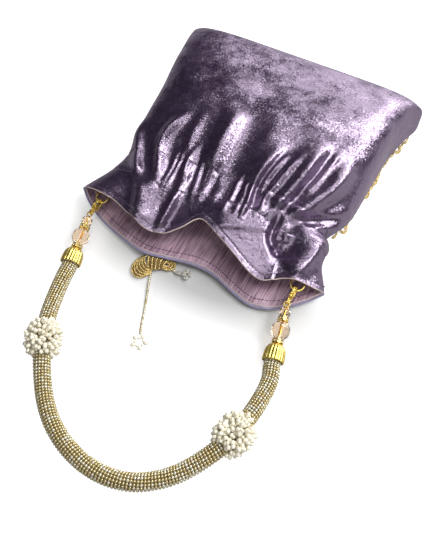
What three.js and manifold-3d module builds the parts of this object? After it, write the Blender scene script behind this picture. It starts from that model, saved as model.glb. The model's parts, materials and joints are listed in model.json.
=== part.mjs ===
// Potli bag: a gathered velvet pouch with a satin lining, lying on its embroidered front,
// and a beaded rope handle that clips to two rings inside the mouth.
// Millimetres. +Z up from the table, +X to the right, -Y towards the mouth and the handle.
// The origin is in the middle of the flat of the front panel that rests on the table.
import * as THREE from "three";
import { mergeVertices } from "three/addons/utils/BufferGeometryUtils.js";
import Module from "manifold-3d";

const wasm = await Module();
wasm.setup();

// Pouch, outside sizes
const BASE_WIDTH = 205;
const NECK_WIDTH = 154;
const MOUTH_WIDTH = 186;
const BASE_Y = 92;
const BODY_LENGTH = 138;
const RUFFLE_LENGTH = 38;
const BELLY_HEIGHT = 56;
const NECK_HEIGHT = 32;
const MOUTH_HEIGHT = 27;
const SEAM_HEIGHT = 11;
const NECK_LIFT = 4.6;
const MOUTH_LIFT = 6;
const HEEL_DEPTH = 14;
const CORNER_RADIUS = 12;
const FRONT_FLAT_DEPTH = 0.9;
const FRONT_LIP = 14;

// Cloth
const VELVET_THICKNESS = 1.4;
const SATIN_THICKNESS = 0.6;
const LAYER_GAP = 0.3;
const PLEAT_COUNT = 8;
const PLEAT_DEPTH = 1.6;
const CHANNEL_WIDTH = 20;
const ELASTIC_THICKNESS = 0.9;
const CHANNEL_PLAY = 0.6;

// Folds of the free back edge: place across the mouth, reach towards the handle, height above the arch
const MOUTH_FOLDS = [
  [-1, 0, 0],
  [-0.66, 0, 0],
  [-0.36, 7, -2],
  [-0.17, 13, -8],
  [0.0, -4, 1],
  [0.12, 2, 0],
  [0.33, 11, -8],
  [0.62, 1, -2],
  [1, 0, 0],
];

// Bead trim round the front of the neck
const TRIM_THICKNESS = 3.2;
const TRIM_WIDTH = 7;

// Rings and the satin tabs that hold them to the lining
const RING_RADIUS = 4.6;
const RING_WIRE = 1.3;
const TAB_WIDTH = 3.2;
const TAB_THICKNESS = 0.8;
const TAB_SLACK = 0.45;
const TAB_SEAT_ACROSS = 0.67;
const TAB_SEAT_INSIDE = 9;
const PIVOT_OUTSIDE = 7;
const PIVOT_HEIGHT = 13;

// Lobster clasps: hook, gate lever on its rivet, and tail eye
const CLASP_THICKNESS = 2.6;
const HOOK_LENGTH = 10.8;
const HOOK_WIDTH = 8;
const HOOK_BEND = 1.5;
const HOOK_HEEL = 2.5;
const HOOK_SIDE = 1.6;
const RING_PLAY = 0.5;
const TAIL_EYE_RADIUS = 2.2;
const TAIL_EYE_HOLE = 1.2;
const TAIL_EYE_THICKNESS = 1.8;
const TAIL_EYE_LAP = 0.6;
const LEVER_THICKNESS = 1.4;
const LEVER_DEPTH = 1.25;
const LEVER_HUB = 1.1;
const LEVER_PIVOT_BACK = 2.2;
const LEVER_PIVOT_SIDE = 2.1;
const LEVER_TIP = 3.6;
const THUMB_HEIGHT = 1.1;
const THUMB_LENGTH = 1.3;
const RIVET_RADIUS = 0.5;
const FINE_GAP = 0.15;

// Bead stack on its eye pin
const PIN_WIRE = 0.9;
const PIN_LOOP_RADIUS = 1.9;
const PIN_LOOP_PLAY = 0.2;
const PIN_HEAD_RADIUS = 1.6;
const PIN_HEAD_THICKNESS = 0.6;
const BORE_PLAY = 0.3;
const BEAD_GAP = 0.2;
const BEAD_SIDES = 12;
const FACETED_DIAMETER = 7.6;
const FACETED_LENGTH = 7;
const FACETED_END = 4.4;
const FACETED_SIDES = 8;
const ROUND_DIAMETER = 12.6;
const RONDELLE_DIAMETER = 7.6;
const RONDELLE_WIDTH = 2.5;
const RONDELLE_RIM = 0.6;
const RONDELLE_CHANNEL = 0.7;
const CAP_LENGTH = 12;
const CAP_FIT = 0.35;
const CAP_TOP_DIAMETER = 6.4;
const CAP_SHOULDER = 5;
const CAP_WALL = 0.7;
const CAP_FLUTES = 10;
const CAP_FLUTE_DEPTH = 0.35;
const STACK_YAW = THREE.MathUtils.degToRad(12.8);
const STACK_PITCH = THREE.MathUtils.degToRad(-8.6);

// Beaded rope, its route over the table and its pearl collars
const ROPE_DIAMETER = 11.4;
const ROPE_INSERTION = 5;
const ROPE_LEAD = 3;
const ROPE_STEPS = 36;
const ROPE_SIDES = 10;
const ROPE_ROUTE = [
  [-66, -152, 6.6],
  [-61, -169, 8],
  [-55, -184, 10.5],
  [-48, -197.4, 11.3],
  [-41, -209, 10.5],
  [-34, -218.8, 8.2],
  [-26.5, -227.6, 6.2],
  [-17.3, -235.6, 5.75],
  [-7.4, -241.8, 5.75],
  [3.7, -246.5, 5.75],
  [15.5, -249.4, 5.75],
  [27, -250.2, 5.75],
  [38.2, -248.8, 5.75],
  [49, -245, 5.75],
  [58.3, -239, 5.75],
  [66.8, -231, 6.2],
  [74.4, -221.2, 8.2],
  [81.2, -209.4, 10.5],
  [86.6, -195, 11.3],
  [89.4, -180.5, 10.5],
  [90.2, -166, 8],
  [89.4, -153, 6.6],
];
const LEFT_COLLAR_POINT = 3;
const RIGHT_COLLAR_POINT = 18;
const COLLAR_LENGTH = 22;
const COLLAR_PLAY = 0.95;
const COLLAR_PEARL = 4.6;
const COLLAR_ROWS = 3;
const COLLAR_PEARLS_PER_ROW = 8;

// Bow of bead strands and its two tails, in front of the mouth
const BOW_X = -19;
const BOW_Y = -111.5;
const KNOT_LENGTH = 13;
const KNOT_DIAMETER = 8;
const KNOT_HEIGHT = 4.1;
const BOW_LOOP_DIAMETER = 3.6;
const BOW_LOOP_SPREAD = 3.6;
const BOW_CORD_DIAMETER = 3;
const STRAND_DIAMETER = 2;
const STRAND_SIDES = 8;
const LONG_TAIL_ROUTE = [
  [-18, -118.8],
  [-15.2, -125.5],
  [-12.2, -132.4],
  [-8.6, -140.6],
  [-5, -149.4],
  [-2, -157],
  [0.2, -161.6],
];
const SHORT_TAIL_ROUTE = [
  [-15.6, -109.4],
  [-10.4, -108.6],
  [-6.4, -109],
  [-3.2, -109.8],
];
const FLOWER_PEARL = 4.4;
const FLOWER_RADIUS = 3.9;
const FLOWER_PETALS = 6;
const BOW_GAP = 0.3;

const velvet = new THREE.MeshStandardMaterial({ color: 0x4a3558, roughness: 0.55 });
const satin = new THREE.MeshStandardMaterial({ color: 0x9a7384, roughness: 0.4 });
const elasticWeb = new THREE.MeshStandardMaterial({ color: 0xe8e4de, roughness: 0.8 });
const gold = new THREE.MeshStandardMaterial({ color: 0xc9a03f, roughness: 0.25, metalness: 1 });
const crystal = new THREE.MeshStandardMaterial({ color: 0xe9c29c, roughness: 0.08 });
const pearl = new THREE.MeshStandardMaterial({ color: 0xf1ece0, roughness: 0.25 });
const goldBeads = new THREE.MeshStandardMaterial({ color: 0xb99a55, roughness: 0.35, metalness: 0.6 });

const bag = new THREE.Group();
const vec = (x, y, z) => new THREE.Vector3(x, y, z);

function place(name, geometry, material, parent = bag) {
  const mesh = new THREE.Mesh(geometry, material);
  mesh.name = name;
  parent.add(mesh);
  return mesh;
}

// Joins the shared corners of a triangle soup, drops collapsed triangles and turns the faces out.
function closedGeometry(positions, triangles) {
  const soup = new THREE.BufferGeometry();
  soup.setAttribute("position", new THREE.Float32BufferAttribute(positions, 3));
  soup.setIndex(triangles);
  const merged = mergeVertices(soup, 1e-3);
  const points = merged.getAttribute("position");
  const corner = (i) => new THREE.Vector3().fromBufferAttribute(points, i);
  const kept = [];
  let volume = 0;
  for (let i = 0; i < merged.index.count; i += 3) {
    const [a, b, c] = [0, 1, 2].map((k) => merged.index.getX(i + k));
    if (a === b || b === c || a === c) continue;
    kept.push(a, b, c);
    volume += corner(a).dot(corner(b).cross(corner(c)));
  }
  if (volume < 0) kept.reverse();
  merged.setIndex(kept);
  return merged;
}

function solidOf(geometry) {
  const bare = geometry.clone();
  bare.deleteAttribute("normal");
  bare.deleteAttribute("uv");
  const joined = mergeVertices(bare, 1e-4);
  return new wasm.Manifold(
    new wasm.Mesh({
      numProp: 3,
      vertProperties: new Float32Array(joined.getAttribute("position").array),
      triVerts: new Uint32Array(joined.index.array),
    }),
  );
}

function geometryOf(solid) {
  const made = solid.getMesh();
  const geometry = new THREE.BufferGeometry();
  geometry.setAttribute("position", new THREE.BufferAttribute(made.vertProperties, 3));
  geometry.setIndex(new THREE.BufferAttribute(made.triVerts, 1));
  return geometry;
}

const moved = (geometry, x, y, z) => geometry.clone().translate(x, y, z);

// The skin between two nested surfaces over a grid of columns and given rows. A looped skin joins its
// last column to its first, and a closed end is one where each surface already meets itself.
function skin(outer, inner, columns, rows, { looped = false, closedEnd = false } = {}) {
  const positions = [];
  const triangles = [];
  const across = looped ? columns : columns + 1;
  const last = rows.length - 1;
  const at = (layer, i, j) => (layer * across + (i % across)) * rows.length + j;
  for (const face of [outer, inner]) {
    for (let i = 0; i < across; i++) {
      for (const row of rows) positions.push(...face(i, row).toArray());
    }
  }
  const quad = (a, b, c, d) => triangles.push(a, b, c, a, c, d);
  for (let i = 0; i < columns; i++) {
    for (let j = 0; j < last; j++) {
      quad(at(0, i, j), at(0, i + 1, j), at(0, i + 1, j + 1), at(0, i, j + 1));
      quad(at(1, i, j), at(1, i, j + 1), at(1, i + 1, j + 1), at(1, i + 1, j));
    }
    quad(at(0, i, 0), at(1, i, 0), at(1, i + 1, 0), at(0, i + 1, 0));
    if (!closedEnd) quad(at(0, i, last), at(0, i + 1, last), at(1, i + 1, last), at(1, i, last));
  }
  for (let j = 0; j < last && !looped; j++) {
    quad(at(0, 0, j), at(0, 0, j + 1), at(1, 0, j + 1), at(1, 0, j));
    quad(at(0, columns, j), at(1, columns, j), at(1, columns, j + 1), at(0, columns, j + 1));
  }
  return closedGeometry(positions, triangles);
}

// Shape of the pouch: stations from the mouth (along = 0) to the base seam (along = 1)
const NECK_Y = BASE_Y - BODY_LENGTH;
const MOUTH_Y = NECK_Y - RUFFLE_LENGTH;
const station = (y, width, height) => vec(y, width / 2, height);
const bodyWidth = (share) => NECK_WIDTH + (BASE_WIDTH - NECK_WIDTH) * share;
const stations = new THREE.CatmullRomCurve3(
  [
    station(MOUTH_Y, MOUTH_WIDTH, MOUTH_HEIGHT),
    station(NECK_Y - RUFFLE_LENGTH / 2, (NECK_WIDTH + MOUTH_WIDTH) / 2, (NECK_HEIGHT + MOUTH_HEIGHT) / 2),
    station(NECK_Y, NECK_WIDTH, NECK_HEIGHT),
    station(NECK_Y + BODY_LENGTH * 0.2, bodyWidth(0.5), BELLY_HEIGHT * 0.84),
    station(NECK_Y + BODY_LENGTH * 0.45, bodyWidth(0.72), BELLY_HEIGHT),
    station(NECK_Y + BODY_LENGTH * 0.7, bodyWidth(0.88), BELLY_HEIGHT * 0.96),
    station(BASE_Y - HEEL_DEPTH, bodyWidth(0.97), BELLY_HEIGHT * 0.77),
    station(BASE_Y - 2, bodyWidth(0.99), (BELLY_HEIGHT * 0.55 + SEAM_HEIGHT) / 2),
    station(BASE_Y, BASE_WIDTH, SEAM_HEIGHT),
  ],
  false,
  "centripetal",
);
const NECK_ALONG = 2 / 8;
const ALONG_PER_MM = NECK_ALONG / RUFFLE_LENGTH;
const CHANNEL_HALF = (CHANNEL_WIDTH / 2) * ALONG_PER_MM;
const TRIM_HALF = (TRIM_WIDTH / 2) * ALONG_PER_MM;
const BACK_ROUNDNESS = 0.8;
const FRONT_ROUNDNESS = 0.4;

// Every cloth layer is cut on the same rows and columns where it waves, so that nested layers never cross.
const CHANNEL_ROWS = [-CHANNEL_HALF, -TRIM_HALF, 0, TRIM_HALF, CHANNEL_HALF].map((step) => NECK_ALONG + step);
const RUFFLE_ROWS = [0, 0.05, 0.1, 0.145];
const FLAT_FROM = NECK_ALONG + 0.12;
const HEEL_ALONG = 6 / 8;
const SEAM_FROM = 7 / 8;
const HEEL_ROWS = [HEEL_ALONG, 0.81, SEAM_FROM, 0.94, 1];
const BODY_ROWS = [FLAT_FROM, 0.44, 0.53, 0.63, ...HEEL_ROWS];
const PLAIN_BODY_ROWS = [FLAT_FROM, 0.53, ...HEEL_ROWS];
const ELASTIC_ROWS = [CHANNEL_ROWS[0], CHANNEL_ROWS[2], CHANNEL_ROWS[4]];
const BACK_ROWS = [...RUFFLE_ROWS, ...ELASTIC_ROWS, ...BODY_ROWS];
const FRONT_ROWS = [...RUFFLE_ROWS, ...CHANNEL_ROWS, ...PLAIN_BODY_ROWS];
const LINING_ROWS = [...RUFFLE_ROWS, ...ELASTIC_ROWS, ...PLAIN_BODY_ROWS];
const COLUMNS = 3 * PLEAT_COUNT;

const smooth = THREE.MathUtils.smoothstep;
const power = (value, exponent) => Math.sign(value) * Math.abs(value) ** exponent;

// How strongly the gathers show at a place along the pouch: full in the channel, fading both ways.
function gatherWeight(along) {
  const ruffleSide = smooth(along, 0.04, NECK_ALONG - CHANNEL_HALF);
  const bodySide = 1 - smooth(along, NECK_ALONG + CHANNEL_HALF, NECK_ALONG + 0.3);
  return Math.min(ruffleSide, bodySide);
}

const foldCurve = new THREE.CatmullRomCurve3(MOUTH_FOLDS.map((fold) => vec(...fold)), false, "centripetal");
const FOLD_SAMPLES = foldCurve.getPoints(160);

// Reach and height of the mouth's free back edge at a place across it.
function mouthFold(across) {
  const next = FOLD_SAMPLES.findIndex((sample) => sample.x >= across);
  if (next < 1) return FOLD_SAMPLES[0];
  const [before, after] = [FOLD_SAMPLES[next - 1], FOLD_SAMPLES[next]];
  return before.clone().lerp(after, (across - before.x) / (after.x - before.x));
}

// Rounds the two base corners of the plan by moving corner points onto a quarter disc.
function roundCorner(point) {
  const s = (Math.abs(point.x) - BASE_WIDTH / 2) / CORNER_RADIUS + 1;
  const t = (point.y - BASE_Y) / CORNER_RADIUS + 1;
  if (s <= 0 || t <= 0) return point;
  point.x += Math.sign(point.x) * CORNER_RADIUS * s * (Math.sqrt(1 - (t * t) / 2) - 1);
  point.y += CORNER_RADIUS * t * (Math.sqrt(1 - (s * s) / 2) - 1);
  return point;
}

// A point of a layer. across runs from -1 at the left seam to 1 at the right seam.
function pouchPoint(side, across, along, layer) {
  const place = stations.getPoint(along);
  const inset = layer.inset + layer.gatherInset * gatherWeight(along);
  const heightInset = inset * (1 - smooth(along, SEAM_FROM, 1));
  const angle = (Math.PI / 2) * (1 - across);
  const x = (place.y - inset) * power(Math.cos(angle), BACK_ROUNDNESS);
  const y = place.x - inset * smooth(along, 0.6, 1);
  const ruffle = 1 - smooth(along, 0, NECK_ALONG - CHANNEL_HALF);
  if (side === "back") {
    const rise = Math.abs(Math.sin(angle)) ** BACK_ROUNDNESS;
    const fold = mouthFold(across);
    const pleat = layer.pleatDepth * (1 - Math.cos(Math.PI * PLEAT_COUNT * (across + 1))) / 2;
    const crown = Math.max(0, place.z - SEAM_HEIGHT - layer.seamGap - heightInset);
    const z = SEAM_HEIGHT + layer.seamGap + (crown - pleat * gatherWeight(along)) * rise;
    return roundCorner(vec(x, y - fold.y * ruffle, z + fold.z * ruffle));
  }
  const rise = Math.abs(Math.sin(angle)) ** FRONT_ROUNDNESS;
  const ruffleLift = THREE.MathUtils.lerp(MOUTH_LIFT, NECK_LIFT, along / NECK_ALONG);
  const bodyLift = NECK_LIFT * (1 - smooth(along, NECK_ALONG, FLAT_FROM));
  const lift = along < NECK_ALONG ? ruffleLift : bodyLift;
  const depth = SEAM_HEIGHT - layer.seamGap - lift - heightInset;
  const sunk = Math.min((depth + FRONT_FLAT_DEPTH) * rise * (1 - smooth(along, SEAM_FROM, 1)), depth);
  const lip = FRONT_LIP * Math.sqrt(1 - across ** 2) * ruffle;
  return roundCorner(vec(x, y - lip, SEAM_HEIGHT - layer.seamGap - sunk));
}

const layerAt = (inset, gatherInset = 0, seamGap = 0, pleatDepth = 0) => ({
  inset,
  gatherInset,
  seamGap,
  pleatDepth,
});
const VELVET_OUTSIDE = layerAt(0, 0, LAYER_GAP / 2, PLEAT_DEPTH);
const VELVET_INSIDE = layerAt(VELVET_THICKNESS, 0, LAYER_GAP / 2, PLEAT_DEPTH);
const CLOTH_STACK = VELVET_THICKNESS + LAYER_GAP;
const ELASTIC_INSET = PLEAT_DEPTH + CHANNEL_PLAY;
const ELASTIC_ROOM = ELASTIC_INSET + ELASTIC_THICKNESS + LAYER_GAP;
const ELASTIC_OUTSIDE = layerAt(CLOTH_STACK, ELASTIC_INSET);
const ELASTIC_INSIDE = layerAt(CLOTH_STACK, ELASTIC_INSET + ELASTIC_THICKNESS);
const LINING_OUTSIDE = layerAt(CLOTH_STACK, ELASTIC_ROOM);
const LINING_INSIDE = layerAt(CLOTH_STACK + SATIN_THICKNESS, ELASTIC_ROOM);
const TRIM_OUTSIDE = layerAt(-LAYER_GAP - TRIM_THICKNESS, 0, LAYER_GAP / 2);
const TRIM_INSIDE = layerAt(-LAYER_GAP, 0, LAYER_GAP / 2);

function panel(side, rows) {
  const face = (layer) => (i, along) => pouchPoint(side, (2 * i) / COLUMNS - 1, along, layer);
  return skin(face(VELVET_OUTSIDE), face(VELVET_INSIDE), COLUMNS, rows);
}

// A layer that goes all the way round: over the back from the left seam, then back along the front.
function roundLayer(outside, inside, rows, closedEnd) {
  const face = (layer) => (i, along) =>
    i < COLUMNS
      ? pouchPoint("back", (2 * i) / COLUMNS - 1, along, layer)
      : pouchPoint("front", 3 - (2 * i) / COLUMNS, along, layer);
  return skin(face(outside), face(inside), 2 * COLUMNS, rows, { looped: true, closedEnd });
}

function neckTrim() {
  const face = (layer) => (i, along) => pouchPoint("front", (2 * (i + 1)) / COLUMNS - 1, along, layer);
  return skin(face(TRIM_OUTSIDE), face(TRIM_INSIDE), COLUMNS - 2, CHANNEL_ROWS.slice(1, 4));
}

place("back_panel", panel("back", BACK_ROWS), velvet);
place("front_panel", panel("front", FRONT_ROWS), velvet);
place("lining", roundLayer(LINING_OUTSIDE, LINING_INSIDE, LINING_ROWS, true), satin);
place("gather_elastic", roundLayer(ELASTIC_OUTSIDE, ELASTIC_INSIDE, ELASTIC_ROWS, false), elasticWeb);
place("neck_bead_trim", neckTrim(), pearl);

// Rings and tabs: each ring's front bar lies on the swing axis of the handle
const PIVOT_Y = MOUTH_Y - PIVOT_OUTSIDE;
const TAB_INNER = RING_WIRE / 2 + TAB_SLACK;
const TAB_HALF = TAB_INNER + TAB_THICKNESS;

// The place on the lining that a tab is sewn to, moved off the cloth by half the tab.
function tabSeat(side) {
  const along = TAB_SEAT_INSIDE * ALONG_PER_MM;
  const at = (dAcross, dAlong) =>
    pouchPoint("back", side * TAB_SEAT_ACROSS + dAcross, along + dAlong, LINING_INSIDE);
  const seat = at(0, 0);
  const normal = at(0.02, 0).sub(seat).cross(at(0, 0.02).sub(seat)).normalize();
  if (normal.z > 0) normal.negate();
  return seat.addScaledVector(normal, TAB_HALF + LAYER_GAP);
}

// A folded strip of satin round a wire at its origin, its two ends reaching along +X.
function tabGeometry(length) {
  const outline = new THREE.Shape();
  outline.moveTo(length, TAB_HALF);
  outline.lineTo(0, TAB_HALF);
  outline.absarc(0, 0, TAB_HALF, Math.PI / 2, 1.5 * Math.PI, false);
  outline.lineTo(length, -TAB_HALF);
  outline.lineTo(length, -TAB_INNER);
  outline.lineTo(0, -TAB_INNER);
  outline.absarc(0, 0, TAB_INNER, 1.5 * Math.PI, Math.PI / 2, true);
  outline.lineTo(length, TAB_INNER);
  outline.closePath();
  return plate(outline, TAB_WIDTH, 5);
}

function plate(shape, thickness, curveSegments = 12) {
  const options = { depth: thickness, bevelEnabled: false, curveSegments };
  return new THREE.ExtrudeGeometry(shape, options).translate(0, 0, -thickness / 2);
}

function pinGeometry(radius, length, sides = 10) {
  return new THREE.CylinderGeometry(radius, radius, length, sides).rotateX(Math.PI / 2);
}

function addRing(side, name) {
  const seat = tabSeat(side);
  const pivot = vec(seat.x, PIVOT_Y, PIVOT_HEIGHT);
  const reach = vec(0, seat.y - PIVOT_Y, seat.z - PIVOT_HEIGHT);
  const holder = new THREE.Group();
  holder.position.copy(pivot);
  const inward = reach.clone().normalize();
  const basis = new THREE.Matrix4().makeBasis(inward, vec(-1, 0, 0).cross(inward), vec(-1, 0, 0));
  holder.quaternion.setFromRotationMatrix(basis);
  bag.add(holder);
  const ring = new THREE.TorusGeometry(RING_RADIUS, RING_WIRE / 2, 6, 18).rotateX(Math.PI / 2);
  place(`handle_ring_${name}`, ring, gold, holder).position.set(RING_RADIUS, 0, 0);
  const tab = tabGeometry(reach.length() - 2 * RING_RADIUS);
  place(`ring_tab_${name}`, tab, satin, holder).position.set(2 * RING_RADIUS, 0, 0);
  return pivot;
}

// Lobster clasp in its own plane: X from the hook's bend towards the tail, Y towards the gate
const BAR_AT = HOOK_BEND + RING_WIRE / 2 + RING_PLAY;
const TAIL_EYE_AT = HOOK_LENGTH + TAIL_EYE_RADIUS - TAIL_EYE_LAP;
const LEVER_PIVOT_AT = HOOK_LENGTH - LEVER_PIVOT_BACK;
const hookEdge = (at) =>
  (HOOK_WIDTH / 2) * Math.sqrt(1 - (at / (HOOK_LENGTH / 2) - 1) ** 2);
// The gate leaves room for the lever's outer tip, which swings nearest to the hook's nose on its way in.
const LEVER_REACH = Math.hypot(LEVER_PIVOT_AT - LEVER_TIP, hookEdge(LEVER_TIP) - LEVER_PIVOT_SIDE);
const GATE_AT = LEVER_PIVOT_AT - LEVER_REACH - FINE_GAP;

function ellipse(x, y, radiusX, radiusY) {
  return new THREE.Shape().absellipse(x, y, radiusX, radiusY, 0, 2 * Math.PI);
}

function claspBodyGeometry() {
  const openingLength = HOOK_LENGTH - HOOK_BEND - HOOK_HEEL;
  const openingAt = HOOK_BEND + openingLength / 2;
  const tall = 2 * CLASP_THICKNESS;
  const gateEnd = LEVER_PIVOT_AT - LEVER_HUB;
  const gate = new THREE.BoxGeometry(gateEnd - GATE_AT, HOOK_WIDTH, tall);
  const slotLength = HOOK_LENGTH - gateEnd + LEVER_HUB;
  const slot = new THREE.BoxGeometry(slotLength, HOOK_WIDTH, LEVER_THICKNESS + 2 * FINE_GAP);
  const slotFloor = LEVER_PIVOT_SIDE - LEVER_HUB - FINE_GAP;
  const gateFloor = slotFloor + FINE_GAP;
  const hook = plate(ellipse(HOOK_LENGTH / 2, 0, HOOK_LENGTH / 2, HOOK_WIDTH / 2), CLASP_THICKNESS);
  const opening = ellipse(openingAt, 0, openingLength / 2, HOOK_WIDTH / 2 - HOOK_SIDE);
  const eye = plate(ellipse(TAIL_EYE_AT, 0, TAIL_EYE_RADIUS, TAIL_EYE_RADIUS), TAIL_EYE_THICKNESS, 10);
  const slotAt = gateEnd + slotLength / 2 - FINE_GAP;
  const rivetHole = pinGeometry(RIVET_RADIUS + FINE_GAP, tall);
  const solid = solidOf(hook)
    .add(solidOf(eye))
    .subtract(solidOf(plate(opening, tall)))
    .subtract(solidOf(moved(pinGeometry(TAIL_EYE_HOLE, tall, 14), TAIL_EYE_AT, 0, 0)))
    .subtract(solidOf(moved(gate, (gateEnd + GATE_AT) / 2, gateFloor + HOOK_WIDTH / 2, 0)))
    .subtract(solidOf(moved(slot, slotAt, slotFloor + HOOK_WIDTH / 2, 0)))
    .subtract(solidOf(moved(rivetHole, LEVER_PIVOT_AT, LEVER_PIVOT_SIDE, 0)));
  return geometryOf(solid);
}

// The gate lever follows the hook's outer edge from its tip to the thumb piece and turns round its hub.
function leverGeometry() {
  const thumbAt = LEVER_PIVOT_AT - LEVER_HUB - THUMB_LENGTH / 2;
  const middle = (LEVER_TIP + thumbAt) / 2;
  const outline = new THREE.Shape();
  outline.moveTo(LEVER_TIP, hookEdge(LEVER_TIP) - LEVER_DEPTH);
  outline.lineTo(LEVER_TIP, hookEdge(LEVER_TIP));
  outline.quadraticCurveTo(middle, hookEdge(middle) + FINE_GAP, thumbAt, hookEdge(thumbAt));
  outline.lineTo(thumbAt + THUMB_LENGTH / 3, hookEdge(thumbAt) + THUMB_HEIGHT);
  outline.lineTo(thumbAt + THUMB_LENGTH, hookEdge(thumbAt) + THUMB_HEIGHT);
  outline.absarc(LEVER_PIVOT_AT, LEVER_PIVOT_SIDE, LEVER_HUB, Math.PI / 2, -Math.PI / 2, true);
  outline.lineTo(thumbAt, LEVER_PIVOT_SIDE);
  outline.closePath();
  const bore = pinGeometry(RIVET_RADIUS + FINE_GAP, 2 * LEVER_THICKNESS);
  const solid = solidOf(plate(outline, LEVER_THICKNESS, 6))
    .subtract(solidOf(moved(bore, LEVER_PIVOT_AT, LEVER_PIVOT_SIDE, 0)));
  return geometryOf(solid);
}

function addClasp(pivot, name) {
  const clasp = new THREE.Group();
  clasp.position.set(pivot.x, pivot.y + BAR_AT, pivot.z);
  const basis = new THREE.Matrix4().makeBasis(vec(0, -1, 0), vec(0, 0, 1), vec(-1, 0, 0));
  clasp.quaternion.setFromRotationMatrix(basis);
  bag.add(clasp);
  place(`clasp_body_${name}`, claspBodyGeometry(), gold, clasp);
  place(`clasp_lever_${name}`, leverGeometry(), gold, clasp);
  const rivet = place(`clasp_rivet_${name}`, pinGeometry(RIVET_RADIUS, CLASP_THICKNESS), gold, clasp);
  rivet.position.set(LEVER_PIVOT_AT, LEVER_PIVOT_SIDE, 0);
}

// Bead stack along +Y from the middle of the eye pin's loop
const BORE_RADIUS = PIN_WIRE / 2 + BORE_PLAY;
const revolve = (profile, sides) =>
  new THREE.LatheGeometry(profile.map(([radius, along]) => new THREE.Vector2(radius, along)), sides);

function facetedBead() {
  const [half, end, side] = [FACETED_LENGTH / 2, FACETED_END / 2, FACETED_DIAMETER / 2];
  const waist = half / 3;
  return revolve(
    [
      [BORE_RADIUS, -half],
      [end, -half],
      [side, -waist],
      [side, waist],
      [end, half],
      [BORE_RADIUS, half],
      [BORE_RADIUS, -half],
    ],
    FACETED_SIDES,
  );
}

const ROUND_HALF = Math.sqrt((ROUND_DIAMETER / 2) ** 2 - BORE_RADIUS ** 2);

function roundBead() {
  const reach = Math.acos(BORE_RADIUS / (ROUND_DIAMETER / 2));
  const arcSteps = 8;
  const profile = Array.from({ length: arcSteps + 1 }, (_, step) => {
    const angle = reach * ((2 * step) / arcSteps - 1);
    return [(ROUND_DIAMETER / 2) * Math.cos(angle), (ROUND_DIAMETER / 2) * Math.sin(angle)];
  });
  return revolve([...profile, profile[0]], BEAD_SIDES);
}

function rondelle() {
  const [half, side] = [RONDELLE_WIDTH / 2, RONDELLE_DIAMETER / 2];
  const channel = side - RONDELLE_CHANNEL;
  return revolve(
    [
      [BORE_RADIUS, -half],
      [side, -half],
      [side, RONDELLE_RIM - half],
      [channel, RONDELLE_RIM - half],
      [channel, half - RONDELLE_RIM],
      [side, half - RONDELLE_RIM],
      [side, half],
      [BORE_RADIUS, half],
      [BORE_RADIUS, -half],
    ],
    BEAD_SIDES,
  );
}

// Fluted bell, its small end at 0 and its mouth at CAP_LENGTH.
function endCap() {
  const inner = ROPE_DIAMETER / 2 + CAP_FIT;
  const [side, top] = [inner + CAP_WALL, CAP_TOP_DIAMETER / 2];
  const bell = revolve(
    [
      [BORE_RADIUS, 0],
      [top, 0],
      [(top + side) / 2, CAP_SHOULDER * 0.3],
      [side - CAP_WALL / 2, CAP_SHOULDER * 0.75],
      [side, CAP_SHOULDER],
      [side, CAP_LENGTH],
      [inner, CAP_LENGTH],
      [inner, CAP_SHOULDER + CAP_WALL],
      [(top + inner) / 2, CAP_SHOULDER * 0.3 + 1.6 * CAP_WALL],
      [top - CAP_WALL, CAP_WALL],
      [BORE_RADIUS, CAP_WALL],
      [BORE_RADIUS, 0],
    ],
    2 * CAP_FLUTES,
  );
  const points = bell.getAttribute("position");
  for (let i = 0; i < points.count; i++) {
    const [x, z] = [points.getX(i), points.getZ(i)];
    const radius = Math.hypot(x, z);
    const flute = 1 + (CAP_FLUTE_DEPTH / side) * Math.cos(CAP_FLUTES * Math.atan2(z, x));
    if (radius > inner + FINE_GAP) points.setXYZ(i, x * flute, points.getY(i), z * flute);
  }
  return bell;
}

function eyePin(headAt) {
  const loop = new THREE.TorusGeometry(PIN_LOOP_RADIUS, PIN_WIRE / 2, 6, 12);
  const shankLength = headAt - PIN_LOOP_RADIUS;
  const shank = new THREE.CylinderGeometry(PIN_WIRE / 2, PIN_WIRE / 2, shankLength, 8);
  const head = new THREE.CylinderGeometry(PIN_HEAD_RADIUS, PIN_HEAD_RADIUS, PIN_HEAD_THICKNESS, 12);
  const solid = solidOf(loop)
    .add(solidOf(moved(shank, 0, PIN_LOOP_RADIUS + shankLength / 2, 0)))
    .add(solidOf(moved(head, 0, headAt, 0)));
  return geometryOf(solid);
}

const stackDirection = vec(
  Math.sin(STACK_YAW) * Math.cos(STACK_PITCH),
  -Math.cos(STACK_YAW) * Math.cos(STACK_PITCH),
  Math.sin(STACK_PITCH),
);

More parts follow.
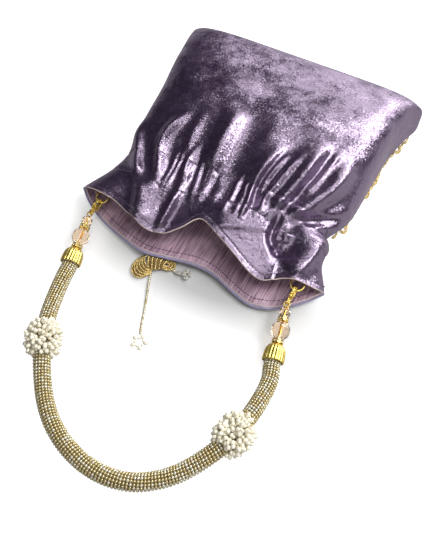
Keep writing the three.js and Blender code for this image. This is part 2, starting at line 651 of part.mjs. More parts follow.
// Threads the beads on one pin and returns where the rope's cap opens.
function addStack(pivot, name) {
  const stack = new THREE.Group();
  const loopAt = TAIL_EYE_AT - BAR_AT + PIN_LOOP_RADIUS + PIN_LOOP_PLAY;
  stack.position.set(pivot.x, pivot.y - loopAt, pivot.z);
  const level = stackDirection.clone().cross(vec(0, 0, 1)).normalize();
  const basis = new THREE.Matrix4().makeBasis(level, stackDirection, level.clone().cross(stackDirection));
  stack.quaternion.setFromRotationMatrix(basis);
  bag.add(stack);
  let at = PIN_LOOP_RADIUS + PIN_WIRE / 2 + BEAD_GAP;
  const thread = (piece, half, geometry, material) => {
    at += half;
    place(`${piece}_${name}`, geometry, material, stack).position.set(0, at, 0);
    at += half + BEAD_GAP;
  };
  thread("faceted_bead", FACETED_LENGTH / 2, facetedBead(), crystal);
  thread("inner_rondelle", RONDELLE_WIDTH / 2, rondelle(), gold);
  thread("round_bead", ROUND_HALF, roundBead(), crystal);
  thread("outer_rondelle", RONDELLE_WIDTH / 2, rondelle(), gold);
  place(`end_cap_${name}`, endCap(), gold, stack).position.set(0, at, 0);
  place(`eye_pin_${name}`, eyePin(at + CAP_WALL + BEAD_GAP + PIN_HEAD_THICKNESS / 2), gold, stack);
  return stackDirection.clone().multiplyScalar(at + CAP_LENGTH).add(stack.position);
}

const leftPivot = addRing(-1, "left");
const rightPivot = addRing(1, "right");
addClasp(leftPivot, "left");
addClasp(rightPivot, "right");
const leftMouth = addStack(leftPivot, "left");
const rightMouth = addStack(rightPivot, "right");

// Rope from cap to cap, straight inside each cap
function circle(diameter, sides) {
  const corners = Array.from({ length: sides }, (_, step) => {
    const angle = (2 * Math.PI * step) / sides;
    return new THREE.Vector2(Math.cos(angle), Math.sin(angle)).multiplyScalar(diameter / 2);
  });
  return new THREE.Shape(corners);
}

function tube(path, diameter, steps, sides) {
  return new THREE.ExtrudeGeometry(circle(diameter, sides), { steps, extrudePath: path });
}

const inCap = (mouth, depth) => mouth.clone().addScaledVector(stackDirection, -depth);
const ropePath = new THREE.CatmullRomCurve3(
  [
    inCap(leftMouth, ROPE_INSERTION),
    inCap(leftMouth, 0),
    inCap(leftMouth, -ROPE_LEAD),
    ...ROPE_ROUTE.map((point) => vec(...point)),
    inCap(rightMouth, -ROPE_LEAD),
    inCap(rightMouth, 0),
    inCap(rightMouth, ROPE_INSERTION),
  ],
  false,
  "centripetal",
);
place("beaded_rope", tube(ropePath, ROPE_DIAMETER, ROPE_STEPS, ROPE_SIDES), goldBeads);

// Collar of pearls strung round a sleeve on the rope
function collar() {
  const half = COLLAR_LENGTH / 2;
  const bore = ROPE_DIAMETER / 2 + COLLAR_PLAY;
  const core = bore + COLLAR_PEARL / 2;
  const sleeveEnd = half - COLLAR_PEARL / 2;
  const sleeve = revolve(
    [
      [bore, -half],
      [bore + COLLAR_PEARL / 4, -half],
      [core, -sleeveEnd],
      [core, sleeveEnd],
      [bore + COLLAR_PEARL / 4, half],
      [bore, half],
      [bore, -half],
    ],
    16,
  );
  const bead = new THREE.IcosahedronGeometry(COLLAR_PEARL / 2, 0);
  let solid = solidOf(sleeve);
  for (let row = 0; row < COLLAR_ROWS; row++) {
    const along = sleeveEnd * ((2 * row) / (COLLAR_ROWS - 1) - 1);
    for (let turn = 0; turn < COLLAR_PEARLS_PER_ROW; turn++) {
      const angle = (2 * Math.PI * (turn + (row % 2) / 2)) / COLLAR_PEARLS_PER_ROW;
      const [x, z] = [core * Math.cos(angle), core * Math.sin(angle)];
      solid = solid.add(solidOf(moved(bead, x, along, z)));
    }
  }
  return geometryOf(solid);
}

function addCollar(routePoint, name) {
  const at = (routePoint + 3) / (ropePath.points.length - 1);
  const mesh = place(`pearl_collar_${name}`, collar(), pearl);
  mesh.position.copy(ropePath.getPoint(at));
  mesh.quaternion.setFromUnitVectors(vec(0, 1, 0), ropePath.getTangent(at));
}

addCollar(LEFT_COLLAR_POINT, "left");
addCollar(RIGHT_COLLAR_POINT, "right");

// Bow: a bound knot, a loop on each side, the cord that holds it to the neck, and two tails with flowers
const smoothPath = (points) => new THREE.CatmullRomCurve3(points, false, "centripetal");
const knotSide = KNOT_DIAMETER / 2;

function knot() {
  const [half, waist] = [KNOT_LENGTH / 2, knotSide * 0.82];
  return revolve(
    [
      [0, -half],
      [knotSide * 0.6, -half],
      [knotSide, -half * 0.75],
      [waist, 0],
      [knotSide, half * 0.75],
      [knotSide * 0.6, half],
      [0, half],
    ],
    16,
  );
}

// Half a bow: out from one end of the knot's side and back to the other.
function bowLoop(side, reach, drop) {
  const start = knotSide + BOW_GAP;
  const straight = start + BOW_LOOP_DIAMETER / 2;
  const offset = (along, across, fall) =>
    vec(BOW_X + side * along, BOW_Y + across, KNOT_HEIGHT - fall);
  const path = smoothPath([
    offset(start, BOW_LOOP_SPREAD * 0.75, 0),
    offset(straight, BOW_LOOP_SPREAD * 0.75, 0),
    offset(reach * 0.7, BOW_LOOP_SPREAD * 1.4, drop * 0.6),
    offset(reach, 0, drop),
    offset(reach * 0.7, -BOW_LOOP_SPREAD * 1.4, drop * 0.6),
    offset(straight, -BOW_LOOP_SPREAD * 0.75, 0),
    offset(start, -BOW_LOOP_SPREAD * 0.75, 0),
  ]);
  return tube(path, BOW_LOOP_DIAMETER, 12, STRAND_SIDES);
}

function flower() {
  const bead = new THREE.IcosahedronGeometry(FLOWER_PEARL / 2, 0);
  let solid = solidOf(bead);
  for (let petal = 0; petal < FLOWER_PETALS; petal++) {
    const angle = (2 * Math.PI * petal) / FLOWER_PETALS;
    const [x, y] = [FLOWER_RADIUS * Math.cos(angle), FLOWER_RADIUS * Math.sin(angle)];
    solid = solid.add(solidOf(moved(bead, x, y, 0)));
  }
  return geometryOf(solid);
}

function addTail(route, name) {
  const points = route.map(([x, y]) => vec(x, y, STRAND_DIAMETER / 2));
  const strand = tube(smoothPath(points), STRAND_DIAMETER, 2 * (route.length - 1), STRAND_SIDES);
  place(`tail_strand_${name}`, strand, goldBeads);
  const end = points.at(-1);
  const outward = end.clone().sub(points.at(-2)).normalize();
  const center = end.addScaledVector(outward, FLOWER_RADIUS + FLOWER_PEARL / 2 + BOW_GAP);
  const mesh = place(`tail_flower_${name}`, flower(), pearl);
  mesh.position.set(center.x, center.y, FLOWER_PEARL / 2);
  mesh.rotation.z = Math.atan2(outward.y, outward.x);
}

place("bow_knot", knot(), goldBeads).position.set(BOW_X, BOW_Y, KNOT_HEIGHT);
place("bow_loop_left", bowLoop(-1, 15.5, 2), goldBeads);
place("bow_loop_right", bowLoop(1, 12, -0.4), goldBeads);
const cordStart = NECK_Y - TRIM_WIDTH / 2 - BOW_GAP;
const cordPath = new THREE.LineCurve3(
  vec(BOW_X, cordStart, BOW_CORD_DIAMETER / 2),
  vec(BOW_X, BOW_Y + KNOT_LENGTH / 2 + BOW_GAP, BOW_CORD_DIAMETER / 2),
);
place("bow_cord", tube(cordPath, BOW_CORD_DIAMETER, 4, STRAND_SIDES), goldBeads);
addTail(LONG_TAIL_ROUTE, "long");
addTail(SHORT_TAIL_ROUTE, "short");

export default bag;
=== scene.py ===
"""Potli bag: crushed velvet, satin, bead strands and gilt clasps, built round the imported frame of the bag."""
import json
import math
from functools import cache

import bpy
import numpy as np
from bpy.props import FloatProperty, FloatVectorProperty, PointerProperty
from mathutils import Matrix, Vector

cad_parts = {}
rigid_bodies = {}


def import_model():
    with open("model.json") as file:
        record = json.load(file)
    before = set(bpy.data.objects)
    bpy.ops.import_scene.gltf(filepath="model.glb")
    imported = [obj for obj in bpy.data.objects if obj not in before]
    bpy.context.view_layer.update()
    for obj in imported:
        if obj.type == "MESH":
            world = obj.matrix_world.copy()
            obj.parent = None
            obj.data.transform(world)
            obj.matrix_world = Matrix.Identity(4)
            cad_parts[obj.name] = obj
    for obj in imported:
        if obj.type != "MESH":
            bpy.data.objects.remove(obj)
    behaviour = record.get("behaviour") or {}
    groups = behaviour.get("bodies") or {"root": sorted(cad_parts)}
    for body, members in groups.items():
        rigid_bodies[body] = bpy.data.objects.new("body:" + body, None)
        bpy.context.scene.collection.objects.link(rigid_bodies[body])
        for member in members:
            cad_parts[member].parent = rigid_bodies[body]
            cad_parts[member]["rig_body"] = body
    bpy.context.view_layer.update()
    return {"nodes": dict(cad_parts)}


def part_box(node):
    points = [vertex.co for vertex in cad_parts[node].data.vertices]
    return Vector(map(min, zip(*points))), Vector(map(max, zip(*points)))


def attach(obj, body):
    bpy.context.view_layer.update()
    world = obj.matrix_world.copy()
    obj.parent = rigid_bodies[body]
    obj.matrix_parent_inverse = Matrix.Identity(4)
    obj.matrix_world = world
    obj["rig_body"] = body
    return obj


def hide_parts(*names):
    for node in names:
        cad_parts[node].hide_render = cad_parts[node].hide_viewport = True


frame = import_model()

bl_info = {
    "name": "Potli bag",
    "version": (1, 0, 0),
    "blender": (4, 5, 0),
    "location": "3D View > Sidebar > Potli bag",
    "description": "Builds a gathered velvet potli bag with a beaded rope handle",
    "category": "Add Mesh",
}

NODES = frame["nodes"]
SIDES = ("left", "right")
MM = 0.001
UP = np.array([0, 0, 1.0])
TINY = 1e-12

# Camera of the picture, in millimetres and degrees
CAMERA_PLACE = (136.4, -310.7, 386.1)
CAMERA_AZIMUTH = 28.435
CAMERA_ELEVATION = 57.417
SENSOR = 36.0

# Pouch along its length: y, half width on the left and on the right, crown height, from mouth to base seam
STATIONS = [
    (-84, 93, 93, 27),
    (-65, 86, 85, 29.5),
    (-46, 82.5, 78, 32),
    (-18.4, 86.5, 87, 46),
    (16.1, 86.5, 88.5, 54.5),
    (50.6, 92, 90, 53.5),
    (74, 97, 94, 49),
    (88, 100, 98, 39),
    (93.5, 97, 95, 11),
]

# Sections of the pouch: shares of its length where they change, heights, roundness (1 is an ellipse), corners
NECK_SHARE = 0.25
CHANNEL_FOOT = 0.145
FLAT_FROM = 0.37
SEAM_HEIGHT = 11.0
FRONT_LIFT = 1.4
NECK_LIFT = 4.6
NECK_ROUNDNESS = 0.8
BASE_ROUNDNESS = {"left": 0.37, "right": 0.3}
BOXY_FROM = 0.28
BOXY_TO = 0.6
RISE_FROM = 0.88
FRONT_ROUNDNESS = 0.4
SEAM_FADE = 0.06
EAR_LIFT = {"left": 5.0, "right": 5.0}
EAR_REACH = {"left": 1.0, "right": 2.0}
EAR_ACROSS = (0.6, 0.98)
EAR_ALONG = (0.78, 0.98)

# Free edges of the mouth: x, y, z
BACK_EDGE = [
    (-97, -80.5, 8),
    (-93.3, -83.6, 14),
    (-79.9, -86.3, 20),
    (-64.3, -88.1, 20),
    (-47.9, -94.3, 20),
    (-33.8, -97.7, 18),
    (-23.4, -95.2, 16),
    (-11.4, -87.9, 22),
    (-0.9, -78.6, 28),
    (12.9, -82.8, 26),
    (32.2, -90.4, 22),
    (46, -95.3, 18),
    (55.2, -95.9, 16.5),
    (66, -89.6, 18),
    (77, -86.8, 19.5),
    (90, -83.4, 14),
    (94, -80, 8),
]
FRONT_EDGE = [
    (-97, -80.5, 8),
    (-90, -86, 4.2),
    (-76, -94, 3.2),
    (-56.5, -101, 3),
    (-40, -105, 3.6),
    (-29.4, -106.4, 4.6),
    (-14, -103.6, 4.8),
    (-2, -100.2, 4.4),
    (11.9, -98.6, 4.2),
    (22, -99.6, 4),
    (37.3, -104.6, 3.4),
    (52, -108, 2.8),
    (60.3, -107, 2.8),
    (68.9, -103, 2.8),
    (82.3, -91.7, 3.4),
    (90, -83.6, 5),
    (94, -80, 8),
]

# Stitch lines of the drawstring channel on the back: x, y
UPPER_STITCH = [(-80, -45), (-50, -44), (-20, -43), (0, -42), (30, -40.5), (50, -40.5), (80, -42)]
LOWER_STITCH = [(-80, -62), (-55, -64), (-38, -68), (-20, -66), (0, -60), (22, -58), (40, -60), (80, -60)]

# Folds of the back: height, width on the left of the crest, width on its right, crest from the body down
FOLDS = [
    (4.2, 5.0, 4.0, [(-44, -6), (-50, -17), (-54.5, -28), (-54, -40), (-49, -51), (-43, -64)]),
    (3.2, 5.0, 3.0, [(-86, -14), (-80, -27), (-72, -42), (-65, -56), (-58, -66)]),
    (1.6, 4.0, 4.0, [(-33, 2), (-36, -18), (-35, -34), (-32, -46), (-29, -60)]),
    (2.0, 3.0, 3.0, [(-27, -24), (-29, -38), (-28, -48), (-24, -58)]),
    (4.8, 8.0, 6.5, [(-12, 7), (-12, -4), (-12, -17), (-12, -30), (-11.5, -43)]),
    (2.4, 10.0, 14.0, [(17, 20), (18, 2), (17, -14), (16, -30), (15, -42)]),
    (3.6, 6.0, 2.2, [(31, -6), (26, -20), (22, -36), (22, -47), (25, -60)]),
    (2.8, 2.0, 2.2, [(37, -11), (31.5, -22), (27.5, -36), (27, -47)]),
    (3.6, 4.5, 3.0, [(47, -2), (41, -16), (35, -34), (32, -45), (33, -57)]),
    (6.8, 8.5, 4.4, [(56, 8), (52.5, -8), (48.5, -26), (43.5, -40), (40, -52)]),
    (2.4, 2.4, 2.6, [(66, 6), (63, -5), (59, -21), (54, -33)]),
    (7.0, 7.0, 5.5, [(76, 8), (73, -8), (67.5, -24), (58.5, -39), (50, -52)]),
    (1.6, 3.0, 2.0, [(88, -16), (85, -21), (76, -31), (66, -38), (58, -44)]),
    (2.4, 2.2, 2.0, [(87, -24), (82, -32), (75, -41), (68, -48)]),
    (4.4, 13.0, 5.0, [(73, -47), (76, -60), (75.5, -74), (73, -86)]),
    (3.4, 14.0, 4.0, [(54, -54), (64, -52), (74, -50), (85, -49)]),
    (-3.8, 2.6, 2.6, [(47, -50), (46.5, -60), (48.5, -70), (56, -76)]),
    (3.6, 4.6, 4.6, [(55, -60), (56, -64), (57, -68)]),
    (4.0, 6.0, 10.0, [(-57, -62), (-51, -72), (-46, -84), (-41, -98)]),
    (3.2, 3.2, 3.0, [(-24, -60), (-25, -76), (-26, -94)]),
    (3.6, 9.0, 26.0, [(9, -56), (13, -68), (18, -80)]),
    (-4.8, 4.0, 18.0, [(54, -58), (55.5, -69), (58, -79)]),
]
FRONT_FOLDS = [
    (2.0, 3.0, 2.6, [(36, -70), (42, -86), (51, -97), (61, -105)]),
    (1.2, 5.0, 5.0, [(-40, -74), (-44, -90), (-46, -102)]),
    (1.0, 6.0, 6.0, [(2, -70), (4, -86), (6, -100)]),
]
FOLD_STEPS = 30
FOLD_REACH = 3
FOLD_RISE = 0.4
FOLD_FALL = 0.85
FOLD_FADE = 0.6

# Grooves of the stitching
TOPSTITCH_DEPTH = 0.45
TOPSTITCH_WIDTH = 0.7
PINCH_DEPTH = 0.7
PINCH_WIDTH = 1.1

# Small gathers of the channel on the back: spans that each one's values are drawn from, and y along each
GATHER_SPAN = (-40, 26)
GATHER_PITCH = 5.2
GATHER_WIDTH = 1.6
GATHER_LEANS = (0, 5)
GATHER_HEIGHTS = (0.4, 1.3)
GATHER_VARIATION = (0.7, 1.3)
GATHER_FAN = 1.04
GATHER_ROWS = (-34, -43, -54, -67)
GATHER_SEED = 7

# Even gathers of the front: shares along it where they start, are full, start to fade and end
FRONT_GATHER_SPAN = (0.08, 0.2, 0.3, 0.5)
FRONT_GATHER_HEIGHT = 0.9
FRONT_GATHER_WAVES = 60
FRONT_GATHER_FADE = 0.1

# Route of the rope over the table from cap to cap, and the points that its pearl collars sit on
ROPE_ROUTE = [
    (-66, -152, 6.6),
    (-61, -169, 8),
    (-55, -184, 10.5),
    (-48, -197.4, 11.3),
    (-41, -209, 10.5),
    (-34, -218.8, 8.2),
    (-26.5, -227.6, 6.2),
    (-17.3, -235.6, 5.75),
    (-7.4, -241.8, 5.75),
    (3.7, -246.5, 5.75),
    (15.5, -249.4, 5.75),
    (27, -250.2, 5.75),
    (38.2, -248.8, 5.75),
    (49, -245, 5.75),
    (58.3, -239, 5.75),
    (66.8, -231, 6.2),
    (74.4, -221.2, 8.2),
    (81.2, -209.4, 10.5),
    (86.6, -195, 11.3),
    (89.4, -180.5, 10.5),
    (90.2, -166, 8),
    (89.4, -153, 6.6),
]
COLLAR_POINTS = {"left": 3, "right": 18}
ROPE_DIAMETER = 11.4
ROPE_INSERTION = 5.0
ROPE_LEAD = 3.0
ROPE_STEPS = 16
ROPE_STEP = 0.5
LONG_TAIL_ROUTE = [
    (-18, -118.8, 1),
    (-15.2, -125.5, 1),
    (-12.2, -132.4, 1),
    (-8.6, -140.6, 1),
    (-5, -149.4, 1),
    (-2, -157, 1),
    (0.2, -161.6, 1),
]
SHORT_TAIL_ROUTE = [(-15.6, -109.4, 1), (-10.4, -108.6, 1), (-6.4, -109, 1), (-3.2, -109.8, 1)]
STRAND_DIAMETER = 2.0


# Sizes and colours that a user would change

def length_property(name, description, default):
    """A length in millimetres of the model, held in metres."""
    return FloatProperty(name=name, description=description, default=default * MM, unit="LENGTH", precision=5)


def colour_property(name, description, default):
    """A linear colour."""
    return FloatVectorProperty(
        name=name, description=description, default=default, subtype="COLOR", size=3, min=0, max=1
    )


def power_property(name, description, default):
    """A lamp's power in watts."""
    return FloatProperty(name=name, description=description, default=default, unit="POWER")


class PotliCloth(bpy.types.PropertyGroup):
    """Velvet, satin and thread."""

    velvet_deep: colour_property("Velvet deep", "Ground of the pile", (0.012, 0.005, 0.020))
    velvet_worn: colour_property("Velvet tufts", "Paler tufts of the pile", (0.045, 0.026, 0.064))
    velvet_sheen: colour_property("Velvet sheen", "Gloss and sheen of the pile", (0.75, 0.61, 0.81))
    satin: colour_property("Satin", "Lining", (0.135, 0.068, 0.112))
    # Paler colour of the satin's streaks: painted sheen where the threads would catch the light
    satin_painted_sheen: colour_property("Satin streaks", "Threads that catch the light", (0.66, 0.45, 0.56))
    pile: colour_property("Cut pile", "Velvet's edge turned out at the mouth", (0.36, 0.31, 0.50))
    rim: colour_property("Rim", "Rolled edge of the lining at the mouth", (0.72, 0.58, 0.54))
    thread: colour_property("Thread", "Stitching", (0.05, 0.028, 0.075))
    fold_depth: FloatProperty(name="Fold depth", description="Share of the folds' full height", default=1.35)
    gather_depth: length_property("Gather depth", "Height of the small gathers in the channel", 2.1)
    stitch_pitch: length_property("Stitch pitch", "Distance from stitch to stitch", 2.7)
    stitch_inset: length_property("Topstitch inset", "From the mouth's edge to its stitching", 4.0)
    lining_gap: length_property("Lining gap", "From the velvet's face to the lining", 1.2)


class PotliBeads(bpy.types.PropertyGroup):
    """Beads, pearls, glass and gilt metal."""

    gold: colour_property("Gold", "Polished gilt metal", (0.96, 0.73, 0.20))
    bead_gold: colour_property("Gold beads", "Seed beads of the rope", (0.64, 0.53, 0.27))
    bow_gold: colour_property("Bow gold", "Seed beads of the bow and the front", (0.82, 0.62, 0.25))
    bead_pale: colour_property("Pale beads", "Paler seed beads among them", (0.74, 0.69, 0.53))
    # Also the colour of the bow's dark strands, painted shade in the gaps between its gold strands
    core: colour_property("Core", "Thread core of the rope and dark strands", (0.30, 0.19, 0.055))
    pearl: colour_property("Pearl", "Ivory pearl", (0.93, 0.87, 0.70))
    glass: colour_property("Glass", "Peach glass beads", (0.95, 0.74, 0.55))
    crystal: colour_property("Crystal", "Foiled crystal stones", (0.95, 0.92, 0.86))
    rope_pitch: length_property("Rope pitch", "From turn to turn of the rope's beads", 1.95)
    collar_pearl: length_property("Collar pearl", "Diameter of the collars' pearls", 2.8)


class PotliStage(bpy.types.PropertyGroup):
    """Floor, lamps and camera."""

    # Grey, not pale: the painted glow shows the floor white away from the mouth, and this grey only shows in
    # the shade there, which it deepens
    floor: colour_property("Floor", "Plain pale floor", (0.48, 0.48, 0.48))
    sky: FloatProperty(name="Sky", description="Even light from all round", default=0.03, min=0)
    key: power_property("Key lamp", "Soft box on the right", 11.9)
    top: power_property("Top lamp", "Soft box behind, above the base", 3.0)
    strip: power_property("Top strip", "Small box straight overhead", 2.7)
    corner: power_property("Corner lamp", "Box behind on the right", 5.6)
    card: power_property("Back card", "Low pale card behind", 9.4)
    fill: power_property("Fill lamp", "Large soft box in front", 4.5)
    lens: FloatProperty(name="Lens", description="Focal length of the picture", default=44.25, unit="CAMERA")


def cloth():
    return bpy.context.scene.potli_cloth


def beads():
    return bpy.context.scene.potli_beads


def stage():
    return bpy.context.scene.potli_stage


# Curves

def smoothstep(value, low, high):
    t = np.clip((np.asarray(value, float) - low) / (high - low), 0, 1)
    return t * t * (3 - 2 * t)


def curve_at(points, shares):
    """Places on a centripetal Catmull-Rom curve, at shares of its spans from 0 to 1."""
    p = np.asarray(points, float)
    padded = np.vstack([2 * p[0] - p[1], p, 2 * p[-1] - p[-2]])
    place = np.clip(shares, 0, 1) * (len(p) - 1)
    span = np.minimum(place.astype(int), len(p) - 2)
    s = (place - span)[:, None]
    p0, p1, p2, p3 = (padded[span + k] for k in range(4))

    def knot(a, b):
        return np.sqrt(np.maximum(np.linalg.norm(b - a, axis=1), TINY))[:, None]

    d0, d1, d2 = knot(p0, p1), knot(p1, p2), knot(p2, p3)
    t1 = ((p1 - p0) / d0 - (p2 - p0) / (d0 + d1) + (p2 - p1) / d1) * d1
    t2 = ((p2 - p1) / d1 - (p3 - p1) / (d1 + d2) + (p3 - p2) / d2) * d1
    near = (2 * s**3 - 3 * s**2 + 1) * p1 + (s**3 - 2 * s**2 + s) * t1
    return near + (-2 * s**3 + 3 * s**2) * p2 + (s**3 - s**2) * t2


def smooth_line(points, per_span=12):
    return curve_at(points, np.linspace(0, 1, per_span * (len(points) - 1) + 1))


def lengths_along(line):
    steps = np.linalg.norm(np.diff(line, axis=0), axis=1)
    return np.concatenate([[0], np.cumsum(steps)])


def spaced(line, step):
    """The line again, as evenly spaced points about a step apart."""
    along = lengths_along(line)
    at = np.linspace(0, along[-1], max(2, round(along[-1] / step) + 1))
    return np.stack([np.interp(at, along, line[:, k]) for k in range(line.shape[1])], 1)


def unit(v):
    return v / np.maximum(np.linalg.norm(v, axis=-1, keepdims=True), TINY)


def frames_along(line):
    """Tangent, side and normal at each point of a line, the normal as near upright as it can be."""
    tangent = unit(np.gradient(line, axis=0))
    side = unit(np.cross(tangent, np.broadcast_to(UP, tangent.shape)))
    return tangent, side, np.cross(side, tangent)


# Meshes

def add_mesh(name, points, faces, materials, slots=None, smooth=True):
    """A mesh object of points in millimetres, with one material slot number a face."""
    mesh = bpy.data.meshes.new(name)
    mesh.from_pydata(np.asarray(points) * MM, [], faces)
    for item in materials:
        mesh.materials.append(item)
    if slots is not None:
        mesh.polygons.foreach_set("material_index", np.asarray(slots, np.int32))
    mesh.polygons.foreach_set("use_smooth", np.full(len(mesh.polygons), smooth))
    mesh.update()
    piece = bpy.data.objects.new(name, mesh)
    bpy.context.scene.collection.objects.link(piece)
    return piece


def grid_faces(rows, columns, start, flip):
    """Quads over a grid of points stored row by row."""
    i, j = np.meshgrid(np.arange(rows - 1), np.arange(columns - 1), indexing="ij")
    a = (start + i * columns + j).ravel()
    quads = np.stack([a, a + 1, a + columns + 1, a + columns], 1)
    return (quads[:, ::-1] if flip else quads).tolist()


def ring_faces(rings, sides):
    """Quads of a tube of rings, each ring closed on itself."""
    i, j = np.meshgrid(np.arange(rings - 1), np.arange(sides), indexing="ij")
    a, b = (i * sides + j).ravel(), (i * sides + (j + 1) % sides).ravel()
    return np.stack([a, b, b + sides, a + sides], 1).tolist()


def circle(count):
    """Angles of evenly spaced places round a circle."""
    return np.arange(count) * 2 * np.pi / count


def spokes(angle, side, normal):
    """Directions at angles from the side towards the normal."""
    return np.cos(angle)[..., None] * side + np.sin(angle)[..., None] * normal


def tube(line, radius, sides):
    """Points and faces of a closed-ended tube along a line."""
    _, side, normal = frames_along(line)
    out = spokes(circle(sides)[None, :], side[:, None], normal[:, None])
    points = (line[:, None] + radius * out).reshape(-1, 3)
    faces = ring_faces(len(line), sides)
    faces.append(list(range(sides))[::-1])
    faces.append(list(range(len(points) - sides, len(points))))
    return points, faces


def revolve(profile, sides, waves=None):
    """Points and faces of a profile of (radius, height) turned round the Z axis. It closes on itself."""
    angle = circle(sides)
    radius, height = np.asarray(profile, float).T
    spread = np.ones((len(profile), sides)) if waves is None else waves(angle, height)
    x = radius[:, None] * spread * np.cos(angle)
    y = radius[:, None] * spread * np.sin(angle)
    z = np.broadcast_to(height[:, None], x.shape)
    points = np.stack([x, y, z], -1).reshape(-1, 3)
    rings = len(profile)
    faces = ring_faces(rings, sides)
    last = np.arange(sides) + (rings - 1) * sides
    first = np.arange(sides)
    faces += np.stack([last, np.roll(last, -1), np.roll(first, -1), first], 1).tolist()
    return points, faces


@cache
def ball(sides, rings):
    """Points and faces of a unit ball."""
    polar = np.linspace(0, np.pi, rings + 1)[1:-1]
    angle = circle(sides)
    x, y = np.sin(polar)[:, None] * np.cos(angle), np.sin(polar)[:, None] * np.sin(angle)
    z = np.broadcast_to(np.cos(polar)[:, None], x.shape)
    points = np.vstack([np.stack([x, y, z], -1).reshape(-1, 3), [[0, 0, 1], [0, 0, -1]]])
    top, foot, last = len(points) - 2, len(points) - 1, (rings - 2) * sides
    faces = [face[::-1] for face in ring_faces(rings - 1, sides)]
    faces += [[top, j, (j + 1) % sides] for j in range(sides)]
    faces += [[foot, last + (j + 1) % sides, last + j] for j in range(sides)]
    return points, faces


def copies(shape, places, axes):
    """Copies of a shape, each at its place with its own three axes."""
    points, faces = shape
    many = np.einsum("vk,nkj->nvj", points, np.asarray(axes)) + np.asarray(places)[:, None]
    made = [[i + n * len(points) for i in face] for n in range(len(places)) for face in faces]
    return many.reshape(-1, 3), made


def joined(parts):
    """Points and faces of several shapes as one, with the number of faces of each."""
    points, faces, counts = [], [], []
    start = 0
    for part_points, part_faces in parts:
        points.append(part_points)
        faces += [[i + start for i in face] for face in part_faces]
        counts.append(len(part_faces))
        start += len(part_points)
    return np.vstack(points), faces, counts


def node_points(name):
    return np.array([v.co for v in NODES[name].data.vertices]) / MM


def node_middle(name):
    """Middle of the box of a node."""
    corners = node_points(name)
    return (corners.min(0) + corners.max(0)) / 2


def settle(piece, slot, *nodes, body=None):
    """Rides a piece on the body of the nodes that it stands for."""
    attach(piece, body or NODES[nodes[0]]["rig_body"])
    if nodes:
        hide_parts(*nodes)
    return piece


# Materials

# How the velvet's pile leans: noise scale, its detail, how far it tilts the surface, its share in the gathers
PILE_TILTS = [(40, 1, 0.7, 0.2), (150, 3, 0.55, 0.22), (1000, 3, 1.2, 0.8)]

# Spans of y, in metres, where the crushed body passes into the gathers and the gathers into the ruffle
CRUSHED_SPAN = (-14 * MM, 16 * MM)
RUFFLE_SPAN = (-68 * MM, -56 * MM)
RUFFLE_SHARE = 0.6

# Spans of noise that are stretched over a finish, and the roughness at their two ends
NOISE_SPAN = (0.3, 0.7)
NOISE_MIDDLE = (0.5, 0.5, 0.5)
TUFT_SPAN = (0.48, 0.72)
STREAK_SPAN = (0.56, 1.02)
STREAK_SOFTNESS = 0.5
VELVET_ROUGHNESS = (0.38, 0.28)
SATIN_ROUGHNESS = (0.3, 0.46)
WARP_STRETCH = (22, 1, 1)
WARP_HEIGHT = 0.3
GLASS_LIGHTENING = 1.08

# Colour sockets of a mix node
MIX_FIRST = 6
MIX_SECOND = 7
MIX_RESULT = 2


def new_material(name, colour, **sockets):
    """A Principled material with plain values on its sockets."""
    made = bpy.data.materials.new(name)
    made.use_nodes = True
    shader = made.node_tree.nodes["Principled BSDF"]
    shader.inputs["Base Color"].default_value = (*colour, 1)
    for socket, value in sockets.items():
        shader.inputs[socket.replace("_", " ")].default_value = value
    return made, made.node_tree, shader


def feed(tree, socket, value):
    """Links a socket to a value that is a socket too, and sets it to any other value."""
    if isinstance(value, bpy.types.NodeSocket):
        tree.links.new(value, socket)
    else:
        socket.default_value = value


def add_node(tree, kind, **values):
    """A shader node with its inputs fed by name."""
    node = tree.nodes.new(kind)
    for key, value in values.items():
        feed(tree, node.inputs[key.replace("_", " ")], value)
    return node


def operate(tree, kind, operation, *values):
    """The outputs of a math node of the given kind, its inputs fed in order."""
    node = tree.nodes.new(kind)
    node.operation = operation
    for socket, value in zip(node.inputs, values):
        feed(tree, socket, value)
    return node.outputs


def combine(tree, operation, first, second):
    return operate(tree, "ShaderNodeMath", operation, first, second)["Value"]


def vector_math(tree, operation, *values):
    return operate(tree, "ShaderNodeVectorMath", operation, *values)["Vector"]


def noise(tree, scale, detail, stretch=(1, 1, 1), output="Fac"):
    """Noise over the piece's own place, stretched along its axes; scale is per metre."""
    place = tree.nodes.new("ShaderNodeTexCoord").outputs["Object"]
    mapped = add_node(tree, "ShaderNodeMapping", Vector=place, Scale=stretch).outputs["Vector"]
    return add_node(tree, "ShaderNodeTexNoise", Vector=mapped, Scale=scale, Detail=detail).outputs[output]


def spread_to(tree, value, span, new_span=(0.0, 1.0)):
    """The value moved from one span to another and held at its ends."""
    made = add_node(
        tree, "ShaderNodeMapRange",
        Value=value, From_Min=span[0], From_Max=span[1], To_Min=new_span[0], To_Max=new_span[1],
    )
    return made.outputs["Result"]


def blend_colours(tree, amount, first, second):
    made = tree.nodes.new("ShaderNodeMix")
    made.data_type = "RGBA"
    tree.links.new(amount, made.inputs["Factor"])
    made.inputs[MIX_FIRST].default_value = (*first, 1)
    made.inputs[MIX_SECOND].default_value = (*second, 1)
    return made.outputs[MIX_RESULT]


